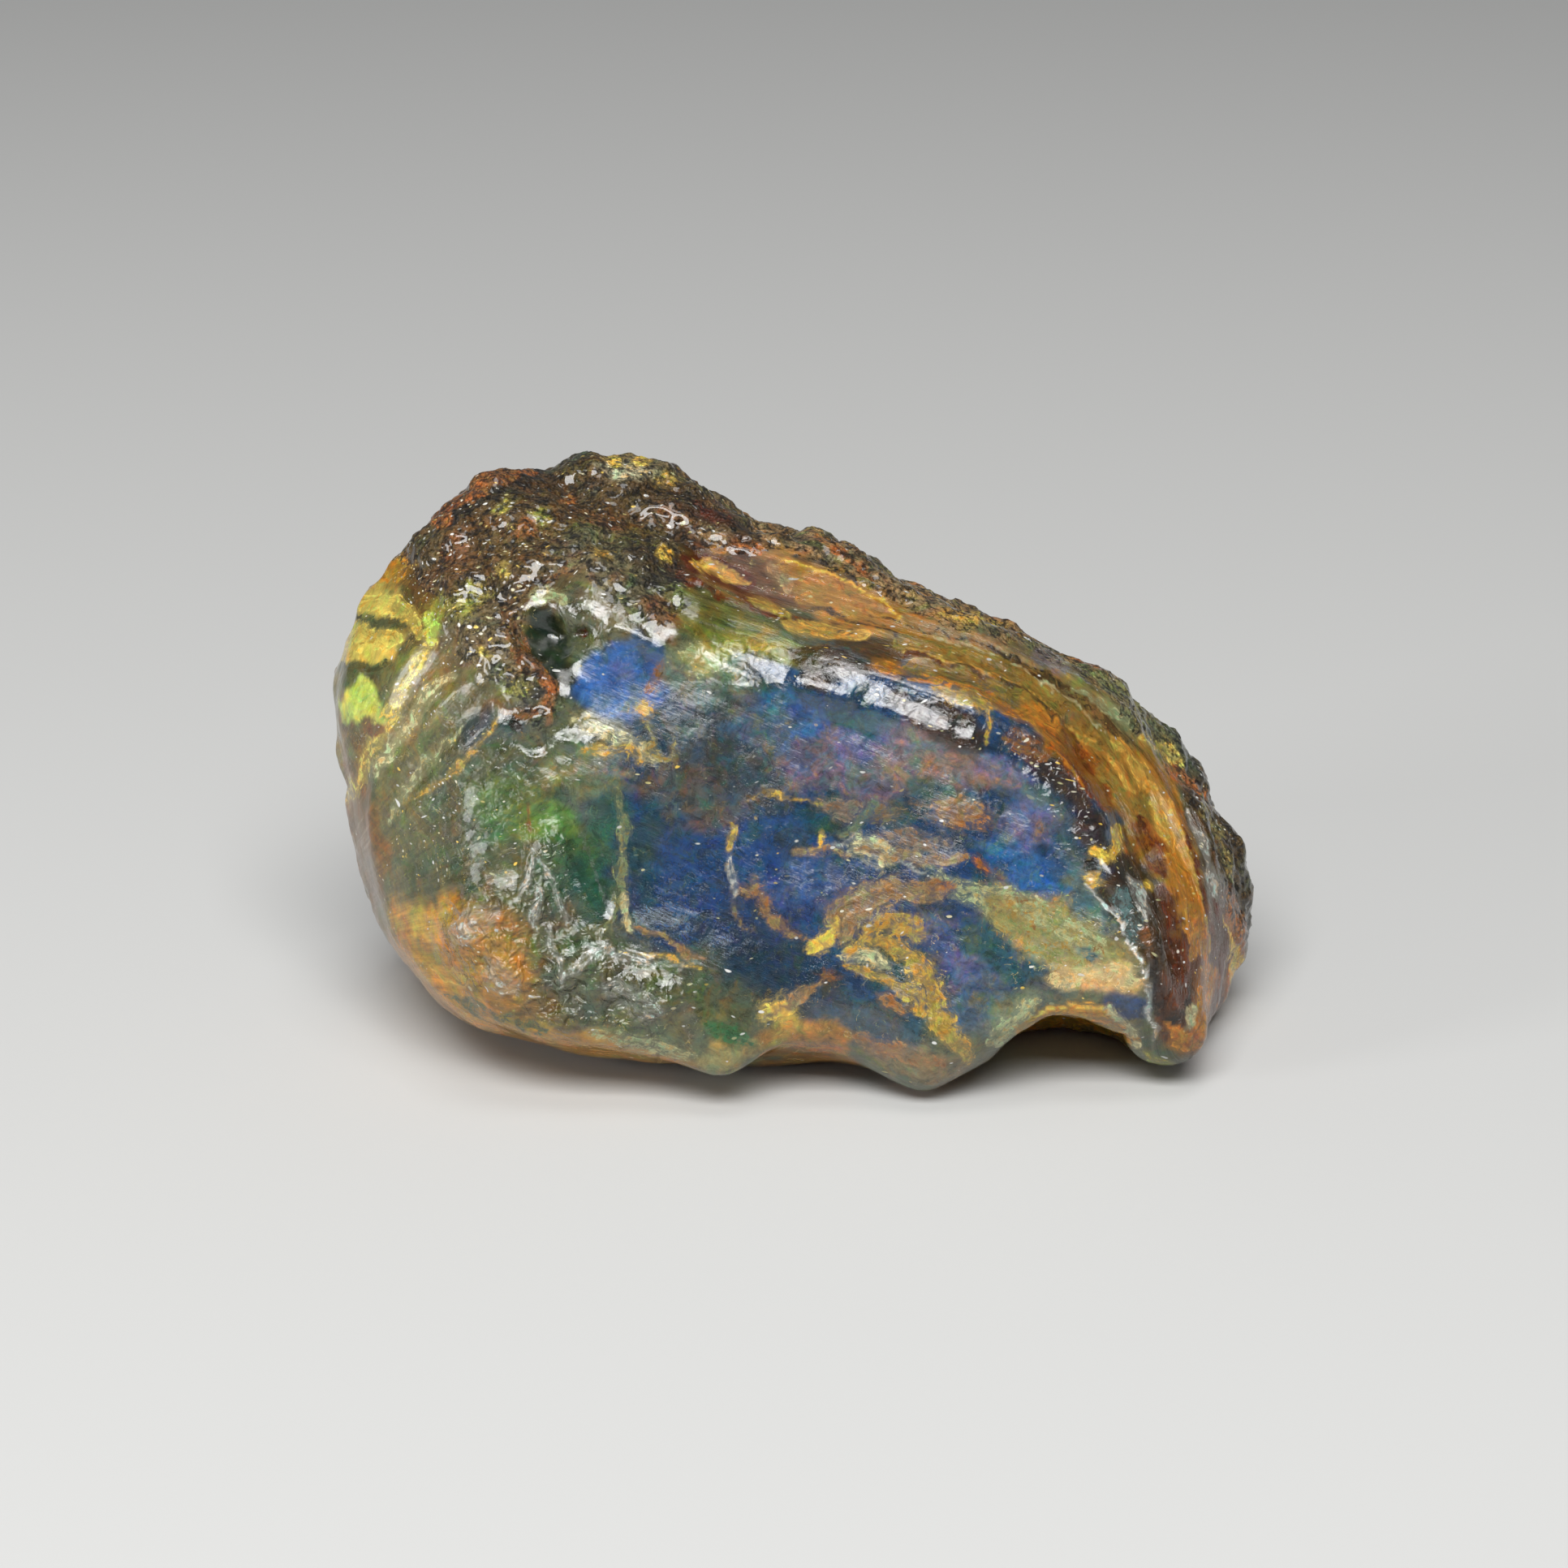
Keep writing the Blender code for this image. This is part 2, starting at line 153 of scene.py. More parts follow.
# Soft grounds of colour, each laid over those before it:
# seen place, half sizes, turn in degrees, colour, strength, softness of the edge
GROUND = {
    "whole": ((0, 0), (30, 20), 0, "moss", 1.0, 0.3),
    "left_side": ((-15.0, -1.5), (6.0, 9.0), 0, "olive_dark", 1.0, 0.6),
    "left_fade": ((-11.0, -4.0), (4.0, 5.5), 0, "moss", 0.8, 0.8),
    "window": ((3.0, -3.0), (12.0, 8.0), -8, "deep_blue", 1.0, 0.4),
    "window_left": ((-4.0, -3.6), (4.4, 4.6), 0, "ink_blue", 0.9, 0.5),
    "grey_green_shoulder": ((-3.8, 3.8), (2.2, 1.3), -15, "grey_green", 0.8, 0.8),
    "green_band": ((-3.0, 6.2), (3.6, 1.0), -24, "green_band", 0.95, 0.6),
    "green_band_end": ((-0.6, 5.0), (2.2, 0.7), -14, "yellow_green", 0.7, 0.7),
    "yellow_green_pane": ((-3.7, 4.8), (1.2, 0.7), -20, "yellow_green", 0.8, 0.6),
    "dusk": ((-2.8, 0.3), (3.4, 2.4), -10, "dusk", 0.95, 0.8),
    "dusk_left": ((-5.2, 1.6), (1.4, 1.5), 0, "blue_grey", 0.8, 0.8),
    "brown_haze": ((-5.2, -1.1), (2.0, 1.0), 10, "dusk_brown", 0.8, 0.8),
    "brown_haze_low": ((-3.2, -2.2), (1.8, 0.8), 20, "brown", 0.45, 0.9),
    "pool": ((-7.6, 3.7), (2.1, 1.75), 12, "pool_blue", 1.0, 0.35),
    "pool_light": ((-8.2, 2.8), (1.0, 0.8), 0, "pool_light", 0.35, 0.8),
    "pool_violet": ((-7.6, 4.0), (0.5, 0.4), 0, "violet", 0.6, 0.8),
    "pool_dark_edge": ((-6.4, 4.9), (0.9, 0.5), -40, "navy", 0.7, 0.8),
    "steel": ((-1.4, 1.5), (1.4, 0.8), -10, "steel", 0.75, 0.8),
    "blue_under_bead": ((-0.2, 2.5), (1.6, 0.6), -12, "pool_blue", 0.6, 0.8),
    "violet": ((2.3, 1.2), (1.7, 0.9), -5, "violet", 0.85, 0.8),
    "violet_blue_streak": ((0.5, 1.25), (0.8, 0.25), 8, "pool_blue", 0.8, 0.6),
    "mauve": ((0.9, 0.1), (2.0, 0.8), -8, "mauve", 0.7, 0.8),
    "grey_mauve": ((2.8, -0.7), (3.0, 0.9), -8, "plum", 0.55, 0.9),
    "teal_lens": ((2.7, 2.0), (1.4, 0.4), -22, "teal", 0.9, 0.4),
    "plum": ((5.6, 0.2), (2.2, 1.3), -15, "plum", 0.85, 0.8),
    "plum_right": ((8.0, -0.2), (1.5, 0.8), -20, "rose_brown", 0.8, 0.8),
    "blue_under_shine": ((9.0, -0.3), (1.2, 0.7), -30, "violet", 0.8, 0.7),
    "teal_speckled": ((6.3, -1.2), (1.6, 0.5), -10, "teal", 0.8, 0.6),
    "teal_gap": ((1.2, -2.6), (1.1, 0.8), 30, "dark_teal", 0.9, 0.6),
    "teal_middle": ((5.0, -2.0), (0.9, 0.6), 0, "dark_teal", 0.7, 0.8),
    "violet_right": ((10.4, -2.7), (1.2, 1.1), -50, "violet", 0.8, 0.8),
    "green_right": ((10.6, -1.5), (1.0, 0.4), -30, "teal_grey", 0.8, 0.7),
    "royal": ((-0.9, -3.8), (2.0, 1.7), -20, "royal_blue", 0.7, 0.8),
    "royal_left": ((-4.4, -4.6), (2.4, 1.6), 0, "royal_blue", 0.55, 0.9),
    "indigo": ((0.8, -5.4), (1.8, 1.4), -10, "indigo", 0.8, 0.9),
    "navy_low": ((-2.6, -7.0), (3.0, 1.6), -10, "navy", 0.75, 0.9),
    "moss_low": ((-1.0, -9.2), (3.0, 1.5), -12, "hollow_green", 0.5, 0.9),
    "moss_low_left": ((-4.4, -9.6), (2.4, 1.4), -12, "moss", 0.6, 0.9),
    "bright_blue": ((9.7, -4.5), (1.5, 0.9), -25, "bright_blue", 0.8, 0.8),
    "bright_blue_low": ((11.3, -5.6), (1.3, 0.9), -35, "bright_blue", 0.7, 0.8),
    "navy_band": ((6.3, -4.8), (3.0, 0.8), -6, "navy", 0.6, 0.9),
    "indigo_band": ((6.9, -7.7), (1.8, 1.1), -30, "violet", 0.55, 0.9),
    "teal_right": ((8.9, -7.8), (1.6, 1.3), -20, "teal", 0.9, 0.7),
    "mauve_low": ((7.3, -9.0), (0.9, 0.8), 0, "violet", 0.8, 0.8),
    "steel_low": ((8.1, -10.4), (1.4, 1.5), -30, "steel", 0.8, 0.8),
    "lobe": ((3.4, -11.3), (2.4, 1.4), -14, "blue_grey", 0.95, 0.6),
    "lobe_foot": ((5.2, -13.0), (2.2, 0.7), -14, "ochre", 0.6, 0.8),
    "teal_holes": ((4.2, -8.6), (1.6, 0.9), -25, "dark_teal", 0.85, 0.7),
    "field": ((11.6, -7.6), (3.6, 1.6), -28, "olive_gold", 0.9, 0.7),
    "field_cream": ((12.0, -8.7), (2.4, 0.8), -22, "cream", 0.5, 0.9),
    "field_peach": ((13.5, -9.2), (1.4, 0.6), -20, "peach", 0.9, 0.7),
    "field_dark": ((9.4, -8.7), (1.3, 0.8), -20, "teal", 0.8, 0.7),
    "arch_edge": ((9.6, -11.0), (1.6, 0.8), 45, "grey_green", 0.8, 0.8),
    "crack_side": ((12.9, -5.6), (0.8, 2.2), 28, "teal_grey", 0.85, 0.7),
    "crest_side": ((12.0, -3.0), (0.6, 2.0), 28, "blue_grey", 0.7, 0.8),
    "foot_navy": ((14.7, -10.4), (1.1, 0.7), 12, "navy", 0.95, 0.5),
    "foot_teal": ((16.0, -9.6), (0.6, 0.9), 0, "blue_grey", 0.9, 0.7),
    "lime": ((-10.8, -2.6), (1.2, 1.0), 0, "lime", 0.6, 0.9),
    "grass": ((-12.4, -2.0), (1.6, 1.4), 0, "grass", 0.55, 0.9),
    "forest": ((-9.6, -4.2), (1.5, 1.6), 0, "forest", 0.85, 0.9),
    "deep_green": ((-8.9, -5.6), (1.0, 1.7), 0, "deep_green", 0.75, 0.8),
    "green_by_vein": ((-8.2, -3.2), (0.8, 1.8), 0, "forest", 0.6, 0.8),
    "teal_by_vein": ((-6.5, -4.2), (0.8, 2.4), 0, "dark_teal", 0.8, 0.8),
    "olive_over_vein": ((-9.2, -0.6), (1.8, 0.8), -10, "olive", 0.8, 0.8),
    "grey_over_vein": ((-8.2, 0.3), (1.4, 0.6), -15, "grey", 0.7, 0.8),
    "flank_dark": ((-13.2, 1.9), (1.6, 0.8), 35, "blue_grey", 0.7, 0.8),
    "flank_gold": ((-16.4, 3.6), (1.6, 3.6), -28, "olive_gold", 0.6, 0.8),
    "flank_low_gold": ((-17.0, -1.6), (1.3, 4.5), -8, "olive_gold", 0.3, 0.9),
    "left_rim": ((-19.0, -3.4), (1.1, 5.6), 6, "edge_brown", 1.0, 0.7),
    "left_rim_high": ((-19.8, 2.0), (0.5, 2.2), 0, "olive_gold", 0.7, 0.8),
    "left_glow_high": ((-18.4, 7.4), (1.4, 0.8), 25, "yellow_glow", 0.9, 0.6),
    "left_glow": ((-18.6, 5.2), (1.9, 0.8), 10, "yellow_glow", 1.0, 0.5),
    "left_lime": ((-18.9, 2.7), (0.9, 0.65), 30, "lime_glow", 1.0, 0.4),
    "toe_olive": ((-11.2, -8.0), (1.8, 1.8), 0, "olive_dark", 0.7, 0.9),
    "toe_low": ((-12.2, -10.2), (3.0, 0.9), -18, "edge_brown", 0.7, 0.8),
    "toe_gold": ((-15.7, -7.4), (1.9, 1.5), -34, "edge_gold", 0.85, 1.0),
    "toe_orange": ((-14.2, -8.6), (2.6, 1.5), -34, "flow_amber", 0.95, 0.8),
    "toe_glow": ((-16.0, -6.9), (1.0, 0.8), -30, "gold_bright", 0.5, 1.0),
    "toe_pale": ((-13.9, -7.0), (1.0, 0.8), 0, "ochre", 0.6, 0.9),
    "toe_ochre": ((-12.4, -7.8), (1.4, 1.2), 0, "flow_olive", 0.8, 0.9),
    "toe_amber": ((-13.8, -8.2), (2.5, 1.8), -34, "edge_gold", 0.55, 0.9),
    "low_teal": ((-9.0, -9.6), (2.2, 1.2), -15, "moss", 0.8, 0.8),
    # Painted glow: bright gold on the thin bottom edges, for light shining through them, over the
    # amber's own gold
    "low_left_edge_glow": ((-15.4, -10.2), (3.4, 1.1), -38, "edge_gold", 1.0, 0.6),
    "low_edge_glow": ((-10.0, -12.2), (5.4, 0.9), -12, "edge_gold", 1.0, 0.6),
    "amber_base": ((0.4, -12.2), (2.2, 1.3), 0, "flow_amber", 1.0, 0.4),
    "amber_base_light": ((-0.4, -11.4), (0.9, 0.8), 0, "gold", 0.7, 0.7),
    "small_foot": ((-3.0, -12.8), (1.6, 0.6), 5, "olive_gold", 0.9, 0.5),
    "crown": ((-5.5, 11.4), (5.5, 2.6), -8, "rind_brown", 1.0, 0.4),
    "left_rind": ((-13.6, 8.6), (3.8, 4.6), -30, "rind_brown", 1.0, 0.5),
    "left_rind_low": ((-13.4, 5.0), (2.2, 2.4), -20, "rind_grey", 0.7, 0.8),
    "brow": ((-10.4, 12.0), (1.6, 0.8), -35, "umber", 0.95, 0.6),
    "brow_low": ((-7.6, 9.9), (3.0, 0.7), -12, "rind_olive", 0.8, 0.7),
    "rind_middle": ((-7.8, 8.0), (3.0, 1.8), -25, "rind_grey", 0.7, 0.8),
    "rind_black": ((-5.6, 8.7), (1.6, 0.7), -30, "rind_dark", 0.9, 0.6),
    "rind_rusty": ((-5.9, 6.4), (0.7, 1.0), 30, "rust", 0.7, 0.7),
    "crown_grey": ((-6.8, 12.9), (1.6, 0.8), -8, "rind_grey", 0.8, 0.8),
    "crown_dark": ((-4.0, 10.9), (2.4, 1.0), -20, "rind_dark", 0.75, 0.8),
    "crown_ridge": ((-2.9, 11.9), (1.8, 0.5), -40, "rind_grey", 0.85, 0.7),
    "flow": ((4.0, 6.6), (6.0, 1.6), -24, "flow_amber", 1.0, 0.4),
    "flow_start": ((-2.4, 8.4), (2.8, 1.1), -26, "flow_brown", 0.9, 0.5),
    "flow_right": ((12.6, 1.2), (4.2, 1.6), -48, "flow_amber", 1.0, 0.4),
    "flow_fall": ((16.2, -4.0), (1.3, 5.0), 14, "flow_amber", 1.0, 0.4),
    "flow_foot": ((17.6, -9.6), (1.6, 3.0), -6, "flow_brown", 0.95, 0.6),
    "far_ridge": ((6.0, 7.8), (8.0, 1.3), -24, "ochre", 0.85, 0.5),
    "far_ridge_right": ((13.0, 3.4), (4.0, 1.5), -35, "olive_gold", 0.6, 0.7),
    "right_rind": ((18.6, -4.4), (1.1, 4.5), 12, "umber", 0.9, 0.6),
    "dark_strip": ((15.2, -6.6), (1.2, 3.3), 20, "rind_dark", 0.95, 0.5),
    "gap_over_bead": ((3.4, 5.3), (2.8, 0.5), -20, "rind_dark", 0.85, 0.6),
    "bead_top": ((1.6, 4.4), (2.2, 0.75), -12, "rind_dark", 0.9, 0.5),
    "bead_crust": ((6.2, 1.9), (2.4, 0.7), -22, "rind_dark", 0.85, 0.5),
    "bead_end": ((11.4, -0.4), (2.0, 0.8), -42, "rind_dark", 0.8, 0.6),
    "bead_end_low": ((13.0, -3.0), (0.6, 1.6), 12, "rind_dark", 0.8, 0.6),
    # Painted shade: dark green in the hollow and below it, standing in for the shade of a deeper hole
    # over a shallow dent
    "hollow": ((-10.8, 5.3), (1.15, 1.3), 10, "hollow_green", 1.0, 0.35),
    "hollow_foot_shade": ((-10.2, 3.8), (0.5, 0.8), 0, "hollow_green", 0.9, 0.6),
}

# Crisp ragged marks: seen path, half width, colour and cover (low covers are broken up)
STREAKS = {
    "vein": ([(-7.6, -0.9), (-7.4, -3.0), (-7.5, -5.4), (-8.0, -7.2)], 0.2, "olive", 0.25),
    "vein_gold": ([(-7.5, -5.6), (-7.3, -6.4), (-7.1, -7.2)], 0.16, "gold_pale", 0.4),
    "wisp_1": (
        [(-9.6, 1.9), (-8.6, 1.4), (-7.7, 1.2), (-6.9, 0.6), (-6.2, 0.2)],
        0.3, "gold_pale", 0.05,
    ),
    "wisp_2": ([(-9.0, 0.7), (-8.2, 0.4), (-7.3, 0.7), (-6.6, 0.1)], 0.24, "gold", 0.1),
    "wisp_3": (
        [(-6.5, 1.9), (-6.0, 1.2), (-6.6, 0.6), (-5.4, 0.2), (-5.0, 0.9)],
        0.2, "olive_gold", 0.1,
    ),
    "wisp_4": ([(-7.9, 2.3), (-7.0, 2.6), (-6.2, 2.4)], 0.14, "teal_grey", 0.3),
    "pool_tongue": ([(-6.4, 3.1), (-6.0, 3.7), (-5.7, 4.3)], 0.3, "rust", 0.7),
    "gold_points": (
        [(-1.9, -1.7), (-1.2, -1.2), (-0.5, -1.2), (0.6, -1.7), (2.0, -1.7)],
        0.08, "gold", 0.0,
    ),
    "green_stroke": ([(2.0, -3.1), (3.0, -2.4), (3.7, -1.4)], 0.2, "grey_green", 0.4),
    "silver_stroke": ([(1.4, -3.9), (2.1, -3.6), (2.8, -3.0)], 0.12, "silver", 0.2),
    "ochre_line_1": ([(0.0, -3.9), (1.2, -3.8), (2.4, -3.9)], 0.16, "ochre", 0.35),
    "gold_streak_1": ([(3.0, -3.7), (4.4, -4.0), (6.0, -4.3), (7.4, -3.9)], 0.22, "ochre", 0.5),
    "silver_line_1": ([(4.6, -4.3), (5.7, -4.9)], 0.08, "silver", 0.7),
    "crack_gold": ([(-2.6, -2.6), (-2.6, -3.3), (-2.75, -3.9)], 0.14, "gold", 0.35),
    "crack_silver": ([(-2.75, -4.1), (-2.9, -5.2), (-2.7, -5.9)], 0.13, "silver", 0.3),
    "crack_brown": ([(-2.9, -5.6), (-2.5, -6.4), (-2.0, -7.2)], 0.12, "brown", 0.3),
    "low_line": ([(-6.9, -7.1), (-5.6, -7.7), (-4.6, -8.2), (-3.9, -8.6)], 0.11, "orange_brown", 0.6),
    "gold_row": ([(-6.9, -8.3), (-5.2, -8.4), (-4.0, -9.0)], 0.1, "gold", 0.1),
    "arc_1": (
        [(-2.2, -5.3), (-1.4, -5.8), (-1.0, -6.6), (-0.3, -7.3), (0.5, -7.7)],
        0.2, "orange_brown", 0.35,
    ),
    "flash": ([(0.6, -8.1), (1.1, -7.8), (1.6, -7.3), (1.9, -6.8)], 0.24, "gold_bright", 0.9),
    "sheet_edge": ([(1.7, -6.9), (2.1, -6.3), (2.8, -5.9), (3.4, -5.5)], 0.5, "ochre", 0.7),
    "sheet": ([(2.0, -7.6), (2.5, -6.8), (3.3, -6.0), (4.6, -5.3), (6.2, -5.8)], 0.55, "ochre", 0.45),
    "net_1": ([(2.4, -8.2), (3.6, -7.0), (4.6, -6.7), (5.6, -7.1), (5.2, -7.6)], 0.3, "gold", 0.3),
    "net_2": ([(4.0, -7.2), (5.0, -7.2), (5.8, -7.5)], 0.35, "gold", 0.3),
    "ridge": (
        [(3.4, -7.8), (4.4, -8.0), (5.3, -8.6), (5.9, -9.6), (6.2, -10.6), (6.8, -11.8), (7.7, -12.9)],
        0.42, "gold", 0.5,
    ),
    "ridge_branch": ([(2.5, -8.8), (3.8, -9.3), (5.0, -9.8), (5.7, -10.8)], 0.28, "gold", 0.4),
    "pale_net": ([(2.2, -8.3), (3.1, -8.3), (4.0, -8.7)], 0.26, "gold_pale", 0.2),
    "lobe_stroke": ([(2.8, -11.9), (4.5, -12.6), (6.5, -13.1)], 0.3, "orange_brown", 0.35),
    "base_left": ([(-1.3, -11.0), (0.3, -10.2), (1.2, -9.5)], 0.22, "ochre", 0.4),
    "field_line_1": ([(7.2, -5.6), (9.0, -6.4), (11.0, -6.7), (13.4, -8.0)], 0.5, "olive_pale", 0.1),
    "field_line_2": ([(8.4, -6.0), (10.4, -7.4), (12.4, -8.6)], 0.6, "olive_gold", 0.15),
    "field_line_3": ([(11.2, -9.4), (12.6, -9.0), (13.8, -9.0), (15.1, -9.6)], 0.4, "peach", 0.1),
    "blue_edge": ([(5.8, -4.5), (7.6, -5.5), (9.4, -5.6), (11.0, -6.3)], 0.3, "olive_pale", 0.05),
    "arch": (
        [(9.9, -11.6), (11.1, -11.0), (12.4, -10.9), (13.6, -11.2), (14.8, -12.0)],
        0.5, "edge_gold", 0.95,
    ),
    "arch_light": (
        [(10.4, -11.1), (11.2, -10.7), (12.4, -10.6), (13.6, -10.9)],
        0.16, "gold_bright", 0.5,
    ),
    "wedge": ([(13.6, -10.8), (14.2, -11.2), (14.9, -12.2)], 0.35, "gold_pale", 0.9),
    "wedge_line": ([(13.1, -10.6), (14.0, -11.3), (14.8, -12.1)], 0.06, "rind_dark", 0.9),
    "arch_pale": ([(8.6, -12.0), (9.6, -11.2), (10.6, -10.3)], 0.4, "olive_pale", 0.15),
    # Painted reflection: silver dots where the crack's reflection runs on down the foot
    "crack_reflection_dots": ([(15.5, -9.7), (15.5, -10.8), (15.7, -12.0)], 0.12, "silver", 0.3),
    "foot_rust": ([(16.2, -11.4), (17.2, -12.2), (18.2, -11.6), (19.2, -9.8)], 0.4, "flow_orange", 0.3),
    "foot_dark": (
        [(15.6, -8.6), (15.8, -10.2), (16.4, -11.4), (17.0, -10.4), (17.0, -8.6)],
        0.3, "black_brown", 0.3,
    ),
    "foot_gold": ([(18.6, -6.6), (19.3, -8.2), (19.4, -9.6)], 0.26, "gold_bright", 0.2),
    "foot_band": ([(17.6, -6.5), (18.2, -8.6), (18.0, -10.6), (17.2, -12.0)], 0.36, "flow_orange", 0.8),
    "foot_maroon_line": ([(18.5, -6.0), (18.9, -8.0), (18.7, -9.8), (18.0, -11.4)], 0.22, "maroon", 0.9),
    # Painted reflection: a thin white line where the crack inside the amber reflects light
    "crack_reflection": (
        [(12.8, -5.1), (13.3, -5.8), (14.0, -6.7), (14.6, -7.8), (15.2, -8.9), (15.45, -9.5)],
        0.065, "white", 0.7,
    ),
    "flank_1": ([(-19.4, -1.6), (-18.0, 1.4), (-16.8, 3.6), (-15.6, 5.6)], 0.3, "yellow_glow", 0.05),
    "flank_2": ([(-18.2, -0.4), (-16.6, 2.0), (-15.0, 3.8)], 0.24, "gold_pale", 0.0),
    "flank_3": ([(-16.8, -1.8), (-14.9, -0.4), (-14.0, 0.7), (-12.9, 1.8)], 0.12, "gold", 0.1),
    "flank_4": ([(-17.6, -2.4), (-16.2, -0.2), (-14.4, 1.6)], 0.2, "olive_pale", 0.0),
    "glow_bar_1": ([(-19.2, 7.0), (-17.8, 7.1), (-16.8, 6.6), (-16.3, 5.6)], 0.4, "yellow_glow", 0.8),
    "glow_bar_2": ([(-19.8, 5.2), (-18.6, 5.7), (-17.4, 5.4)], 0.5, "yellow_glow", 0.9),
    "glow_gap_1": ([(-19.0, 6.5), (-17.8, 6.3), (-17.0, 5.9)], 0.2, "olive_dark", 0.8),
    "glow_gap_2": ([(-19.8, 4.2), (-18.6, 4.1), (-17.6, 4.4)], 0.26, "olive_dark", 0.8),
    "glow_yellow_green": ([(-15.9, 6.6), (-15.7, 5.8), (-15.9, 5.3)], 0.3, "lime_glow", 0.6),
    "lip_1": ([(-10.9, 3.9), (-10.6, 3.4), (-10.8, 2.6), (-10.6, 1.8)], 0.24, "rust_orange", 0.7),
    "lip_2": ([(-12.9, 2.5), (-12.3, 1.9), (-11.6, 2.1), (-11.0, 2.4)], 0.2, "rust", 0.6),
    "hollow_rim": ([(-12.5, 6.6), (-12.1, 5.6), (-11.9, 4.6), (-11.0, 3.9)], 0.35, "rust", 0.6),
    "hollow_rim_top": ([(-11.4, 7.2), (-10.6, 7.4), (-9.8, 7.0)], 0.3, "olive_pale", 0.4),
    "hollow_rim_brown": ([(-11.0, 7.8), (-10.4, 8.1), (-9.8, 8.6)], 0.22, "rust", 0.4),
    "rust_vertical": ([(-11.5, -1.8), (-11.5, -2.9)], 0.14, "rust", 0.4),
    "toe_lens": ([(-15.8, -8.9), (-15.0, -9.1), (-14.2, -9.6)], 0.2, "gold", 0.6),
    # Painted highlights: broken silver lines along the toes' crests, where light catches the ridges
    "crest_highlight_1": ([(-11.2, -3.6), (-11.5, -5.0), (-11.9, -5.8)], 0.13, "silver", 0.1),
    "crest_highlight_2": ([(-11.0, -4.2), (-10.5, -5.2), (-10.1, -6.5), (-9.8, -7.1)], 0.15, "silver", 0.15),
    "crest_highlight_3": ([(-10.7, -7.0), (-10.4, -8.0), (-10.0, -9.6)], 0.14, "silver", 0.1),
    "crest_highlight_4": ([(-11.1, -5.2), (-11.2, -6.4), (-11.2, -7.3)], 0.1, "silver", 0.1),
    # Painted highlights: broken silver lines along the web ridges of the toes
    "web_highlight_1": ([(-9.8, -9.3), (-8.8, -8.4), (-8.1, -7.8)], 0.2, "silver", 0.0),
    "web_highlight_2": ([(-8.2, -8.0), (-7.2, -8.4), (-6.2, -8.7)], 0.2, "silver", 0.0),
    # Painted highlights: broken silver patches on the crinkled toes, like light on crumpled foil
    "toe_highlight_1": ([(-13.3, -8.4), (-12.7, -9.2), (-12.1, -9.9)], 0.35, "silver", -0.1),
    "toe_highlight_2": ([(-14.6, -7.4), (-13.8, -6.8), (-12.9, -6.5)], 0.4, "silver", -0.15),
    "toe_highlight_3": ([(-8.2, -9.6), (-7.0, -10.2), (-5.8, -10.6)], 0.45, "silver", -0.15),
    "toe_line": ([(-15.2, -10.0), (-13.2, -10.9), (-10.8, -11.5)], 0.22, "olive_dark", 0.3),
    "low_flecks": ([(-9.2, -11.5), (-7.6, -12.0), (-6.0, -12.4), (-4.6, -12.6)], 0.3, "olive_pale", 0.1),
    "green_flecks": ([(-3.8, -11.4), (-2.8, -11.8), (-1.9, -12.1)], 0.35, "forest", 0.3),
    "back_lip": ([(-15.6, 10.6), (-14.2, 11.8), (-12.6, 12.6), (-11.2, 13.0)], 0.42, "rust_orange", 0.5),
    "back_lip_dark": (
        [(-15.2, 10.4), (-13.8, 11.4), (-12.2, 12.2), (-10.9, 12.9)],
        0.22, "black_brown", 0.9,
    ),
    "flow_lens_rim": (
        [(-4.8, 9.1), (-3.6, 8.9), (-2.2, 8.3), (-1.6, 7.7), (-2.8, 7.7), (-4.2, 8.2), (-4.8, 9.1)],
        0.16, "maroon", 0.9,
    ),
    "flow_lens": ([(-4.3, 8.8), (-3.2, 8.4), (-2.1, 7.9)], 0.32, "flow_gold", 0.8),
    "nugget_lens": ([(-5.7, 9.3), (-5.3, 8.9)], 0.34, "gold_bright", 0.9),
    "maroon_1": (
        [(-5.0, 8.4), (-3.9, 7.5), (-2.4, 6.9), (-0.9, 6.4), (0.8, 6.2)],
        0.16, "chestnut", 0.9,
    ),
    "maroon_2": ([(-4.6, 8.0), (-3.2, 7.3), (-1.8, 6.9)], 0.08, "rust_orange", 0.6),
    "gold_lens_2": ([(-2.0, 7.1), (-1.1, 6.7), (-0.2, 6.3)], 0.26, "gold", 0.8),
    "small_lens": ([(-1.0, 8.6), (-0.6, 8.1), (-0.1, 7.6)], 0.3, "ochre", 0.7),
    "orange_sheet": (
        [(-0.4, 8.5), (1.4, 8.0), (3.0, 7.0), (4.6, 6.0), (6.2, 5.4)],
        0.5, "flow_amber", 0.7,
    ),
    "orange_sheet_edge": ([(-0.3, 8.8), (1.5, 8.3), (3.2, 7.3), (4.8, 6.3)], 0.12, "gold_bright", 0.35),
    "orange_low": ([(0.4, 7.3), (1.6, 7.2), (3.0, 6.5), (4.4, 5.7)], 0.3, "flow_amber", 0.8),
    "black_line": ([(0.6, 6.8), (2.0, 6.5), (3.3, 6.1), (4.6, 5.4)], 0.14, "rind_dark", 0.8),
    "gold_tongue": ([(-0.4, 6.1), (1.2, 5.9), (3.3, 5.5)], 0.26, "flow_gold", 0.8),
    "tongue_core": ([(1.6, 5.9), (2.6, 5.7)], 0.14, "rind_grey", 0.7),
    "flow_olive_band": (
        [(4.6, 5.4), (7.0, 4.9), (9.4, 4.1), (11.4, 2.8), (13.0, 1.4), (13.9, 0.4)],
        0.5, "flow_olive", 0.9,
    ),
    "flow_band_line_1": (
        [(4.8, 5.7), (7.4, 5.1), (9.8, 4.3), (11.9, 3.0), (13.6, 1.3)],
        0.07, "gold_pale", 0.5,
    ),
    "flow_band_line_2": (
